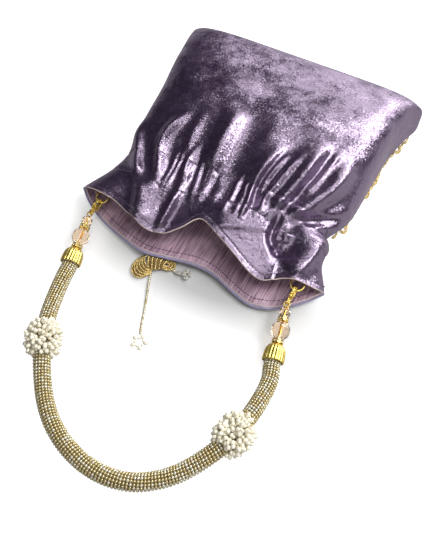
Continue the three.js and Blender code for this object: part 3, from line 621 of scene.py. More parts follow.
@cache
def velvet():
    """Crushed velvet: glossy pile in patches that lie different ways, over a deep purple ground."""
    sheen = (*cloth().velvet_sheen, 1)
    made, tree, shader = new_material(
        "crushed_velvet", cloth().velvet_deep,
        Sheen_Weight=0.08, Sheen_Roughness=0.25, Sheen_Tint=sheen, IOR=3.6, Specular_Tint=sheen,
    )
    mottle = noise(tree, scale=170, detail=2)
    tufts = spread_to(tree, noise(tree, scale=800, detail=2), TUFT_SPAN)
    ground = blend_colours(tree, tufts, cloth().velvet_deep, cloth().velvet_worn)
    tree.links.new(ground, shader.inputs["Base Color"])
    tree.links.new(spread_to(tree, mottle, NOISE_SPAN, VELVET_ROUGHNESS), shader.inputs["Roughness"])
    normal = tree.nodes.new("ShaderNodeNewGeometry").outputs["Normal"]
    place = tree.nodes.new("ShaderNodeTexCoord").outputs["Object"]
    along = add_node(tree, "ShaderNodeSeparateXYZ", Vector=place).outputs["Y"]
    for scale, detail, tilt, gathered in PILE_TILTS:
        lean = vector_math(tree, "SUBTRACT", noise(tree, scale, detail, output="Color"), NOISE_MIDDLE)
        body = spread_to(tree, along, CRUSHED_SPAN, (gathered * tilt, tilt))
        ruffle = spread_to(tree, along, RUFFLE_SPAN, (RUFFLE_SHARE * tilt, gathered * tilt))
        amount = combine(tree, "MAXIMUM", body, ruffle)
        normal = vector_math(tree, "ADD", normal, vector_math(tree, "MULTIPLY", lean, amount))
    tree.links.new(vector_math(tree, "NORMALIZE", normal), shader.inputs["Normal"])
    return made


@cache
def satin():
    """Satin with fine streaks along its warp; the streaks' paler colour is painted sheen."""
    made, tree, shader = new_material("dusty_satin", cloth().satin, Sheen_Weight=0.2, Specular_IOR_Level=0.6)
    warp = noise(tree, scale=60, detail=4, stretch=WARP_STRETCH)
    cloud = combine(tree, "MULTIPLY", noise(tree, scale=40, detail=2), STREAK_SOFTNESS)
    streaks = spread_to(tree, combine(tree, "ADD", warp, cloud), STREAK_SPAN)
    # Painted sheen: the warp streaks are coloured paler where the threads would catch the light
    colour = blend_colours(tree, streaks, cloth().satin, cloth().satin_painted_sheen)
    tree.links.new(colour, shader.inputs["Base Color"])
    tree.links.new(spread_to(tree, warp, NOISE_SPAN, SATIN_ROUGHNESS), shader.inputs["Roughness"])
    bump = add_node(tree, "ShaderNodeBump", Height=warp, Distance=WARP_HEIGHT * MM, Strength=0.5)
    tree.links.new(bump.outputs["Normal"], shader.inputs["Normal"])
    return made


def flecked(name, colour, rough, fade, scale, **sockets):
    """A finish whose colour fades by up to a share, and whose roughness varies, from fleck to fleck."""
    made, tree, shader = new_material(name, colour, **sockets)
    cloud = noise(tree, scale, detail=3)
    darker = [c * (1 - fade) for c in colour]
    tree.links.new(blend_colours(tree, cloud, darker, colour), shader.inputs["Base Color"])
    tree.links.new(spread_to(tree, cloud, NOISE_SPAN, rough), shader.inputs["Roughness"])
    return made


@cache
def gold():
    return flecked("gilt_metal", beads().gold, rough=(0.24, 0.36), fade=0.12, scale=700, Metallic=0.92)


@cache
def bead_gold():
    return flecked(
        "gold_beads", beads().bead_gold, rough=(0.18, 0.34), fade=0.3, scale=520,
        Metallic=0.6, Coat_Weight=0.8,
    )


@cache
def bow_gold():
    return flecked(
        "bow_gold_beads", beads().bow_gold, rough=(0.2, 0.36), fade=0.35, scale=520,
        Metallic=0.75, Coat_Weight=0.6,
    )


@cache
def bead_pale():
    return flecked(
        "pale_beads", beads().bead_pale, rough=(0.08, 0.2), fade=0.25, scale=420,
        Metallic=0.45, Coat_Weight=0.8,
    )


# Dark brown thread: the rope's real thread core, and also the bow's dark strands, which are painted shade
# between its gold strands
@cache
def core_thread():
    return flecked("core_thread", beads().core, rough=(0.6, 0.8), fade=0.5, scale=900)


@cache
def pearl():
    return flecked(
        "ivory_pearl", beads().pearl, rough=(0.16, 0.3), fade=0.14, scale=380,
        Coat_Weight=0.7, Coat_Roughness=0.08, Sheen_Weight=0.2, Metallic=0.12,
    )


@cache
def glass():
    """Clear tinted glass that is a little paler in clouds."""
    tint = beads().glass
    made, tree, shader = new_material("peach_glass", tint, Transmission_Weight=1.0, IOR=1.48, Roughness=0.03)
    paler = [min(1.0, c * GLASS_LIGHTENING) for c in tint]
    colour = blend_colours(tree, noise(tree, scale=160, detail=2), tint, paler)
    tree.links.new(colour, shader.inputs["Base Color"])
    return made


@cache
def crystal():
    return flecked(
        "foiled_crystal", beads().crystal, rough=(0.03, 0.12), fade=0.35, scale=900,
        Metallic=0.55, Coat_Weight=1.0,
    )


@cache
def thread():
    return flecked(
        "purple_thread", cloth().thread, rough=(0.45, 0.65), fade=0.4, scale=1500, Sheen_Weight=0.3
    )


@cache
def cut_pile():
    return flecked("cut_pile", cloth().pile, rough=(0.5, 0.7), fade=0.55, scale=700, Sheen_Weight=0.4)


@cache
def rim_satin():
    return flecked("rolled_rim", cloth().rim, rough=(0.35, 0.5), fade=0.25, scale=600, Sheen_Weight=0.3)


# Pouch

def signed_power(value, exponent):
    return np.sign(value) * np.abs(value) ** exponent


def edge_at(points, x):
    """Places on a free edge of the mouth at the given x."""
    line = smooth_line(points)
    return np.stack([x, *(np.interp(x, line[:, 0], line[:, k]) for k in (1, 2))], -1)


def lifted_ears(points, across, along):
    """Pulls the two base corners out and up, as the corners of a filled bag stand."""
    for side, sign in (("left", -1), ("right", 1)):
        near = smoothstep(sign * across, *EAR_ACROSS) * smoothstep(along, *EAR_ALONG)
        points[..., 2] += EAR_LIFT[side] * near
        points[..., 0] += sign * EAR_REACH[side] * near
    return points


def smooth_side(side, across, along):
    """The pouch's back or front without folds, over a grid of shares across and along."""
    place = curve_at(STATIONS, along)
    y, left, right, crown = (place[:, k][:, None] for k in range(4))
    angle = np.pi / 2 * (1 - across)[None, :]
    t = along[:, None]
    boxy = np.where(across < 0, BASE_ROUNDNESS["left"], BASE_ROUNDNESS["right"])[None, :]
    roundness = NECK_ROUNDNESS + (boxy - NECK_ROUNDNESS) * smoothstep(t, BOXY_FROM, BOXY_TO)
    x = np.where(across[None, :] < 0, left, right) * signed_power(np.cos(angle), roundness)
    if side == "back":
        z = SEAM_HEIGHT + (crown - SEAM_HEIGHT) * np.sin(angle) ** roundness
        edge = BACK_EDGE
    else:
        lift = np.maximum(NECK_LIFT * (1 - smoothstep(t, NECK_SHARE, FLAT_FROM)), FRONT_LIFT)
        sunk = (SEAM_HEIGHT - lift) * np.sin(angle) ** FRONT_ROUNDNESS
        z = SEAM_HEIGHT - sunk * (1 - smoothstep(t, RISE_FROM, 1))
        edge = FRONT_EDGE
    points = np.stack(np.broadcast_arrays(x, y + 0 * x, z), -1).copy()
    low, high = edge[0][0], edge[-1][0]
    rim = edge_at(edge, (low + high) / 2 + (high - low) / 2 * signed_power(np.cos(angle[0]), NECK_ROUNDNESS))
    ruffle = (1 - smoothstep(along, 0, CHANNEL_FOOT))[:, None, None]
    points += ruffle * (rim - points[0])[None]
    return lifted_ears(points, across[None, :], t)


def normals_of(points, outward):
    """Unit normals of a grid of points, turned to the given side."""
    normal = unit(np.cross(np.gradient(points, axis=1), np.gradient(points, axis=0)))
    return normal * np.sign((normal * outward).sum(-1).mean())


def gather_lines():
    """The small gathers of the channel, as folds of their own."""
    rng = np.random.default_rng(GATHER_SEED)
    depth = cloth().gather_depth / MM
    x, made = GATHER_SPAN[0], []
    while x < GATHER_SPAN[1]:
        lean = rng.uniform(*GATHER_LEANS)
        height = depth * rng.uniform(*GATHER_HEIGHTS)
        width = GATHER_WIDTH * rng.uniform(*GATHER_VARIATION)
        route = (x * GATHER_FAN, x, x + lean / 2, x + lean)
        made.append((height, width, width, list(zip(route, GATHER_ROWS))))
        x += GATHER_PITCH * rng.uniform(*GATHER_VARIATION)
    return made


def fold_height(x, y, folds):
    """Height of all the folds over places on the pouch."""
    total = np.zeros_like(x)
    for height, left, right, points in folds:
        line = smooth_line(points, FOLD_STEPS)
        reach = FOLD_REACH * max(left, right)
        low, high = line.min(0) - reach, line.max(0) + reach
        near = (x > low[0]) & (x < high[0]) & (y > low[1]) & (y < high[1])
        px, py = x[near][:, None] - line[:, 0], y[near][:, None] - line[:, 1]
        index = np.argmin(px**2 + py**2, axis=1)
        rows = np.arange(len(index))
        dx, dy = px[rows, index], py[rows, index]
        tangent = unit(np.gradient(line, axis=0))[index]
        across = dx * tangent[:, 1] - dy * tangent[:, 0]
        width = np.where(across > 0, left, right)
        share = index / (len(line) - 1)
        taper = smoothstep(share, 0, FOLD_RISE) * (1 - smoothstep(share, FOLD_FALL, 1) * FOLD_FADE)
        total[near] += height * taper * np.exp(-(dx**2 + dy**2) / width**2)
    return total


def stitch_pinch(x, y):
    """How far the stitch lines pull the cloth in."""
    total = np.zeros_like(x)
    for points in (UPPER_STITCH, LOWER_STITCH):
        line = smooth_line(points)
        off = y - np.interp(x, line[:, 0], line[:, 1])
        total -= PINCH_DEPTH * np.exp(-((off / PINCH_WIDTH) ** 2))
    return total


def stitch_groove(points):
    """One along the topstitching inside the mouth's edge, falling to nothing on both sides of it."""
    steps = np.linalg.norm(np.diff(points, axis=0), axis=-1)
    inside = np.vstack([np.zeros((1, points.shape[1])), np.cumsum(steps, axis=0)])
    return np.exp(-(((inside - cloth().stitch_inset / MM) / TOPSTITCH_WIDTH) ** 2))


# Grids of the two panels in shares along and across them, and the rows that reach past the topstitching
FINE_TO = 0.32
MOUTH_ROWS = 60


def rows_along(fine, coarse):
    """Shares along a panel, closer together in the ruffle and the gathers."""
    return np.concatenate([np.linspace(0, FINE_TO, fine, endpoint=False), np.linspace(FINE_TO, 1, coarse)])


BACK_ROWS = rows_along(fine=90, coarse=150)
FRONT_ROWS = rows_along(fine=45, coarse=65)
BACK_COLUMNS = np.linspace(-1, 1, 241)
FRONT_COLUMNS = np.linspace(-1, 1, 161)


@cache
def pouch_back():
    """Points and normals of the velvet's back, folds and gathers included."""
    points = smooth_side("back", BACK_COLUMNS, BACK_ROWS)
    normal = normals_of(points, UP)
    x, y = points[..., 0], points[..., 1]
    height = cloth().fold_depth * fold_height(x, y, FOLDS) + fold_height(x, y, gather_lines())
    height += stitch_pinch(x, y) - TOPSTITCH_DEPTH * stitch_groove(points)
    seam_fade = smoothstep(1 - np.abs(BACK_COLUMNS), 0, SEAM_FADE)[None, :]
    points = points + normal * (height * seam_fade)[..., None]
    return points, normals_of(points, UP)


@cache
def pouch_front():
    """Points and normals of the velvet's front, which lies on the table."""
    points = smooth_side("front", FRONT_COLUMNS, FRONT_ROWS)
    start, full, fading, end = FRONT_GATHER_SPAN
    gather = smoothstep(FRONT_ROWS, start, full) * (1 - smoothstep(FRONT_ROWS, fading, end))
    wave = FRONT_GATHER_HEIGHT * (1 + np.cos(FRONT_COLUMNS * FRONT_GATHER_WAVES)) / 2
    wave = wave * smoothstep(1 - np.abs(FRONT_COLUMNS), 0, FRONT_GATHER_FADE)
    points[..., 2] += gather[:, None] * wave[None, :]
    points[..., 2] += fold_height(points[..., 0], points[..., 1], FRONT_FOLDS)
    return points, normals_of(points, -UP)


def sheet_mesh(name, grids, material):
    """One object of several grids of points."""
    points, faces = [], []
    start = 0
    for grid, flip in grids:
        points.append(grid.reshape(-1, 3))
        faces += grid_faces(*grid.shape[:2], start, flip)
        start += len(points[-1])
    return add_mesh(name, np.vstack(points), faces, [material])


def across_at_depth(points, normals, depth):
    """The line that runs a set distance inside the mouth's edge, with its normals."""
    both = np.concatenate([points, normals], -1)[:MOUTH_ROWS]
    made = []
    for j in range(points.shape[1]):
        along = lengths_along(both[:, j, :3])
        made.append([np.interp(depth, along, column) for column in both[:, j].T])
    made = np.array(made)
    return made[:, :3], unit(made[:, 3:])


def across_at_line(points, normals, path):
    """The line where the pouch crosses a line drawn in plan, with its normals."""
    drawn = smooth_line(path)
    off = points[..., 1] - np.interp(points[..., 0], drawn[:, 0], drawn[:, 1])
    i, j = np.argmax(off > 0, axis=0), np.arange(points.shape[1])
    return points[i, j], normals[i, j]


class POTLI_OT_pouch(bpy.types.Operator):
    """Sews the velvet back and front of the pouch"""

    bl_idname = "potli.pouch"
    bl_label = "Velvet pouch"
    # Reach and lift of each row of velvet that the front turns out past the lining, and the row it aims from
    lip = ((2.2, -0.5), (1.9, 0.25), (1.3, 0.55), (0.6, 0.5))
    lip_from = 3

    def execute(self, context):
        back = sheet_mesh("velvet_back", [(pouch_back()[0], False)], velvet())
        settle(back, "velvet", "back_panel", "gather_elastic")
        front = sheet_mesh("velvet_front", [(self.with_lip(pouch_front()[0]), True)], velvet())
        front.data.materials.append(cut_pile())
        turned = len(self.lip) * (len(FRONT_COLUMNS) - 1)
        turned_out = (np.arange(len(front.data.polygons)) < turned).astype(np.int32)
        front.data.polygons.foreach_set("material_index", turned_out)
        settle(front, "velvet", "front_panel")
        return {"FINISHED"}

    def with_lip(self, points):
        """The front with its velvet turned out past the lining at the mouth."""
        out = unit(points[0] - points[self.lip_from])
        rolls = [points[0] + reach * out + [0, 0, lift] for reach, lift in self.lip]
        return np.concatenate([np.stack(rolls), points])


class POTLI_OT_lining(bpy.types.Operator):
    """Hangs the satin lining inside the pouch and rolls its edge round the mouth"""

    bl_idname = "potli.lining"
    bl_label = "Satin lining"
    rim_step = 1.5
    rim_radius = 0.5
    rim_sides = 10

    def execute(self, context):
        gap = cloth().lining_gap / MM
        grids, edges = [], []
        for (points, normals), flip in ((pouch_back(), True), (pouch_front(), False)):
            grids.append(((points - gap * normals)[::2, ::2], flip))
            edges.append(points[0] - normals[0] * gap / 2)
        lining = sheet_mesh("satin_lining", grids, satin())
        settle(lining, "satin", "lining")
        loop = np.vstack([edges[0], edges[1][::-1][1:-1]])
        closed = spaced(np.vstack([loop, loop[:1]]), self.rim_step)
        rim = add_mesh("mouth_rim", *tube(closed, self.rim_radius, self.rim_sides), [rim_satin()])
        settle(rim, "satin", body="bag")
        return {"FINISHED"}


class POTLI_OT_stitching(bpy.types.Operator):
    """Runs the topstitching round the mouth and along the drawstring channel"""

    bl_idname = "potli.stitching"
    bl_label = "Stitching"
    # A stitch: sides and rings, how far it stands proud, its half width, its half length in pitches
    stitch_ball = (6, 6)
    proud = 0.12
    half_width = 0.3
    half_length = 0.4

    def execute(self, context):
        inset, pitch = cloth().stitch_inset / MM, cloth().stitch_pitch / MM
        lines = [across_at_depth(*pouch_back(), inset), across_at_depth(*pouch_front(), inset)]
        lines += [across_at_line(*pouch_back(), path) for path in (UPPER_STITCH, LOWER_STITCH)]
        facing, outward = lines[1]
        lines.append((facing - outward * cloth().lining_gap / MM, -outward))
        places, axes = [], []
        for line, normal in lines:
            both = spaced(np.hstack([line, normal]), pitch)
            middle, out = both[:, :3], unit(both[:, 3:])
            tangent = unit(np.gradient(middle, axis=0))
            side = np.cross(out, tangent)
            places.append(middle + self.proud * out)
            long = self.half_length * pitch
            axes.append(np.stack([self.half_width * side, self.half_width * out, long * tangent], 1))
        points, faces = copies(ball(*self.stitch_ball), np.vstack(places), np.vstack(axes))
        settle(add_mesh("topstitching", points, faces, [thread()]), "velvet", body="bag")
        return {"FINISHED"}


# Rope and tails

# Sides and rings of the small beads and of the pearls, a bead's half length in pitches, room over the table
SEED_BEAD = (8, 5)
PEARL_BALL = (12, 8)
BEAD_HALF = 0.56
TABLE_GAP = 0.05


def stack_axis(side):
    """A point on the bead stack's line and its direction towards the rope."""
    first = node_points(f"faceted_bead_{side}").mean(0)
    return first, unit(node_points(f"end_cap_{side}").mean(0) - first)


def cap_ends(side):
    """Middle of the cap's small end and of its mouth."""
    start, direction = stack_axis(side)
    along = (node_points(f"end_cap_{side}") - start) @ direction
    return start + direction * along.min(), start + direction * along.max()


@cache
def rope_line():
    """The rope's middle, from inside one cap to inside the other."""
    ends = []
    for side in SIDES:
        mouth, direction = cap_ends(side)[1], stack_axis(side)[1]
        ends.append([mouth - direction * ROPE_INSERTION, mouth, mouth + direction * ROPE_LEAD])
    return spaced(smooth_line([*ends[0], *ROPE_ROUTE, *ends[1][::-1]], ROPE_STEPS), ROPE_STEP)


def strand_beads(line, radius, pitch):
    """Places and axes of round beads threaded on a line."""
    middle = spaced(line, pitch)
    tangent, side, normal = frames_along(middle)
    return middle, np.stack([radius * side, radius * normal, BEAD_HALF * pitch * tangent], 1)


def spotted(shape, count, share, seed):
    """Slot numbers of the faces that give a share of the beads the second material."""
    pale = np.random.default_rng(seed).random(count) < share
    return np.repeat(pale.astype(int), len(shape[1]))


def bead_heap(places, radius, shape):
    """Round beads of one size at their places."""
    return copies(shape, places, np.broadcast_to(radius * np.eye(3), (len(places), 3, 3)))


class POTLI_OT_rope(bpy.types.Operator):
    """Winds the seed beads of the rope handle and ties its two pearl collars"""

    bl_idname = "potli.rope"
    bl_label = "Beaded rope"
    # Beads in a turn, their half sizes outwards, round and along the rope in half pitches, and the pale ones
    per_turn = 15.06
    bead_halves = (0.95, 1.1, 0.98)
    pale_share = 0.3
    pale_seed = 3
    # Core under the beads, set in by half pitches
    core_inset = 1.5
    core_sides = 16
    core_stride = 4
    # Layers of a collar: pearls, distance from the rope's middle, half length along it
    collar_layers = ((130, 7.2, 11.2), (110, 9.0, 10.4), (74, 10.6, 8.4))
    collar_seeds = {"left": 11, "right": 12}
    collar_crown = 1.2
    turn_scatter = 0.12
    along_scatter = 0.5
    out_scatter = 0.35
    pearl_sizes = (0.86, 1.1)
    pearl_stretch = 1.3

    def execute(self, context):
        line = rope_line()
        tangent, side, normal = frames_along(line)
        radius, pitch = ROPE_DIAMETER / 2, beads().rope_pitch / MM
        across = pitch / 2
        core = tube(line[::self.core_stride], radius - self.core_inset * across, self.core_sides)
        count = int(lengths_along(line)[-1] / pitch * self.per_turn)
        at = np.arange(count) / count * (len(line) - 1)
        i = at.astype(int)
        angle = np.arange(count) * 2 * np.pi / self.per_turn
        out = spokes(angle, side[i], normal[i])
        middle = line[i] + (at - i)[:, None] * (line[i + 1] - line[i]) + out * (radius - across)
        around = np.cross(tangent[i], out)
        deep, wide, long = (half * across for half in self.bead_halves)
        axes = np.stack([deep * out, wide * around, long * tangent[i]], 1)
        shape = ball(*SEED_BEAD)
        points, faces, counts = joined([core, copies(shape, middle, axes)])
        finishes = [bead_gold(), bead_pale(), core_thread()]
        core_slots = np.full(counts[0], finishes.index(core_thread()))
        slots = np.concatenate([core_slots, spotted(shape, count, self.pale_share, self.pale_seed)])
        rope = add_mesh("strung_rope", points, faces, finishes, slots)
        settle(rope, "seed_beads", "beaded_rope")
        collars = [self.collar(name) for name in SIDES]
        return {"FINISHED"}

    def collar(self, name):
        """A cluster of pearls tied round the rope, each a golden angle round it from the last."""
        rng = np.random.default_rng(self.collar_seeds[name])
        line = rope_line()
        tied = np.array(ROPE_ROUTE[COLLAR_POINTS[name]])
        knot = int(np.argmin(np.linalg.norm(line - tied, axis=1)))
        tangent, side, normal = (v[knot] for v in frames_along(line))
        pearl_radius = beads().collar_pearl / MM / 2
        places, sizes = [], []
        for count, radius, half in self.collar_layers:
            turn = np.arange(count) * math.pi * (3 - math.sqrt(5)) + rng.normal(0, self.turn_scatter, count)
            along = half * np.linspace(-1, 1, count) + rng.normal(0, self.along_scatter, count)
            bulge = radius - self.collar_crown * (along / half) ** 2 + rng.normal(0, self.out_scatter, count)
            spoke = bulge[:, None] * spokes(turn, side, normal)
            places.append(line[knot] + along[:, None] * tangent + spoke)
            sizes.append(pearl_radius * rng.uniform(*self.pearl_sizes, count))
        places, sizes = np.vstack(places), np.concatenate(sizes)[:, None]
        out = unit(places - line[knot])
        beside = unit(np.cross(out, tangent))
        axes = np.stack([sizes * beside, sizes * np.cross(out, beside), self.pearl_stretch * sizes * out], 1)
        points, faces = copies(ball(*PEARL_BALL), places, axes)
        points[:, 2] = np.maximum(points[:, 2], TABLE_GAP)
        cluster = add_mesh(f"pearl_cluster_{name}", points, faces, [pearl()])
        return settle(cluster, "pearl", f"pearl_collar_{name}")


class POTLI_OT_tails(bpy.types.Operator):
    """Threads the bow's two tails, with a flower on the long one and cut stones on the short one"""

    bl_idname = "potli.tails"
    bl_label = "Bow tails"
    bead_pitch = 1.6
    pale_share = 0.75
    pale_seed = 5
    # Cut stones: offsets in plan from the middle of their node
    stone_offsets = ((-3.6, 1.9), (-0.4, 2.6), (0.8, 5.6), (3.6, 4.4), (2.4, 0.8))
    stone_radius = 1.9
    stone_ball = (7, 4)
    # Flower: reach, half length and half width of the beads at its points and of those between
    petals = 5
    petal_turn = 0.3
    point_bead = (4.4, 1.75, 1.35)
    ring_bead = (2.9, 1.0, 1.0)

    def execute(self, context):
        long_flower = self.open_flower("pearl_flower", "tail_flower_long")
        self.stone_cluster("crystal_cluster", "tail_flower_short")
        shape = ball(*SEED_BEAD)
        for name, route in (("long", LONG_TAIL_ROUTE), ("short", SHORT_TAIL_ROUTE)):
            line = smooth_line(route)
            places, axes = strand_beads(line, STRAND_DIAMETER / 2, self.bead_pitch)
            points, faces = copies(shape, places, axes)
            slots = spotted(shape, len(places), self.pale_share, self.pale_seed)
            strand = add_mesh(f"{name}_tail", points, faces, [bead_gold(), bead_pale()], slots)
            settle(strand, "seed_beads", f"tail_strand_{name}")
        return {"FINISHED"}

    def stone_cluster(self, name, node):
        """A few cut stones at the end of a strand, where its plain node lies."""
        middle = node_middle(node)
        places = [(middle[0] + x, middle[1] + y, self.stone_radius) for x, y in self.stone_offsets]
        points, faces = bead_heap(places, self.stone_radius, ball(*self.stone_ball))
        return settle(add_mesh(name, points, faces, [crystal()], smooth=False), "crystal", node)

    def open_flower(self, name, node):
        """A ring of beads with a longer bead at each point, where its plain node lies."""
        middle = node_middle(node)
        places, axes = [], []
        for k, angle in enumerate(np.arange(2 * self.petals) * np.pi / self.petals + self.petal_turn):
            out = np.array([math.cos(angle), math.sin(angle), 0])
            side = np.array([-math.sin(angle), math.cos(angle), 0])
            reach, long, wide = self.ring_bead if k % 2 else self.point_bead
            places.append([*(middle[:2] + reach * out[:2]), wide + TABLE_GAP])
            axes.append(np.stack([long * out, wide * side, wide * UP]))
        points, faces = copies(ball(*PEARL_BALL), places, axes)
        return settle(add_mesh(name, points, faces, [pearl()]), "pearl", node)


def between(first, second, share):
    """The places a share of the way from the first list of places to the second."""
    return (1 - share) * np.array(first) + share * np.array(second)


class POTLI_OT_bow(bpy.types.Operator):
    """Ties the bow of bead strands and the cord that holds it"""

    bl_idname = "potli.bow"
    bl_label = "Bow"
    # Knot: the strands' first and last ends in plan, and how the bundle bulges along and across them
    knot_tops = ((-26.5, -107), (-12.5, -105.4))
    knot_feet = ((-20.5, -118), (-12.5, -112))
    knot_strands = 9
    knot_points = 13
    knot_radius = 0.86
    knot_rise = 4.2
    bulge_along = (0.02, 0.9)
    bulge_across = (0.2, 0.6)
    # Loops: corners in plan of the innermost and outermost strand, strands, rise over the table
    loops = {
        "left": ([(-27, -107.5), (-29, -112), (-24, -117), (-18.5, -117.5)],
                 [(-27, -107.5), (-41, -118), (-24, -137), (-18, -118.5)], 11, 2.6),
        "right": ([(-13, -106.5), (-9, -105.5), (-8, -109), (-13, -110)],
                  [(-13, -104), (-2.5, -101.5), (-3.5, -112), (-13, -112)], 5, 0.5),
    }
    loop_points = 40
    loop_radius = 0.72
    strand_height = 1.0
    # Beads: pitch in radii, how far the gold strands stand over the dark strands of painted shade
    bead_pitch = 1.3
    gold_lift = 0.5
    # Cord that holds the bow: two strands
    cord_offsets = (-0.75, 0.75)
    cord_step = 2

    def execute(self, context):
        self.bead_piece("knot_strands", self.knot_lines(), "bow_knot", self.knot_radius, shade_every=2)
        for name, loop in self.loops.items():
            node, lines = f"bow_loop_{name}", self.loop_lines(*loop)
            self.bead_piece(f"loop_strands_{name}", lines, node, self.loop_radius, shade_every=2)
        low, high = (np.array(corner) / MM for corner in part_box("bow_cord"))
        x, z = (low[0] + high[0]) / 2, (low[2] + high[2]) / 2
        cords = []
        for offset in self.cord_offsets:
            ends = np.array([[x + offset, low[1], z], [x + offset, high[1], z]])
            cords.append(spaced(ends, self.cord_step))
        self.bead_piece("bow_hanger", cords, "bow_cord", self.loop_radius)
        return {"FINISHED"}

    def bead_piece(self, name, lines, node, radius, shade_every=0):
        """Strands side by side. With shade_every at 2, every second strand is a low dark one, painted shade in
        the gaps between the gold strands.
        """
        shape = ball(*SEED_BEAD)
        parts, low = [], []
        for k, line in enumerate(lines):
            # A dark strand is painted shade: thread colour where the gaps between gold strands fall in shadow
            dark = bool(shade_every) and k % shade_every == shade_every - 1
            places, axes = strand_beads(line, radius, self.bead_pitch * radius)
            places[:, 2] += 0.0 if dark else self.gold_lift
            places[:, 2] = np.maximum(places[:, 2], radius + TABLE_GAP)
            parts.append(copies(shape, places, axes))
            # Slot of each strand: the dark strands take the thread colour as painted shade
            low.append(int(dark))
        points, faces, counts = joined(parts)
        piece = add_mesh(name, points, faces, [bow_gold(), core_thread()], np.repeat(low, counts))
        return settle(piece, "seed_beads", node)

    def knot_lines(self):
        """Strands laid side by side over the knot."""
        share = np.linspace(0, 1, self.knot_points)[:, None]
        start, span = self.bulge_along
        along = np.sin(np.pi * (start + span * share))
        start, span = self.bulge_across
        made = []
        for beside in np.linspace(0, 1, self.knot_strands):
            top, foot = between(*self.knot_tops, beside), between(*self.knot_feet, beside)
            bulge = along * math.sin(math.pi * (start + span * beside))
            made.append(np.hstack([top + share * (foot - top), self.strand_height + self.knot_rise * bulge]))
        return made

    def loop_lines(self, near, far, count, rise):
        """Strands of a loop, each a cubic curve between the innermost and the outermost."""
        u = np.linspace(0, 1, self.loop_points)[:, None]
        weights = ((1 - u) ** 3, 3 * u * (1 - u) ** 2, 3 * u**2 * (1 - u), u**3)
        made = []
        for beside in np.linspace(0, 1, count):
            plan = sum(weight * corner for weight, corner in zip(weights, between(near, far, beside)))
            made.append(np.hstack([plan, self.strand_height + rise * (1 - beside) * np.sin(np.pi * u)]))
        return made


# Trim of the front

def front_at(across, along):
    """Places and outward normals on the velvet's front at shares across it and one share along it."""
    points, normals = pouch_front()
    i = int(np.searchsorted(FRONT_ROWS, along))
    j = np.round((across + 1) / 2 * (len(FRONT_COLUMNS) - 1)).astype(int)
    return points[i, j], normals[i, j]


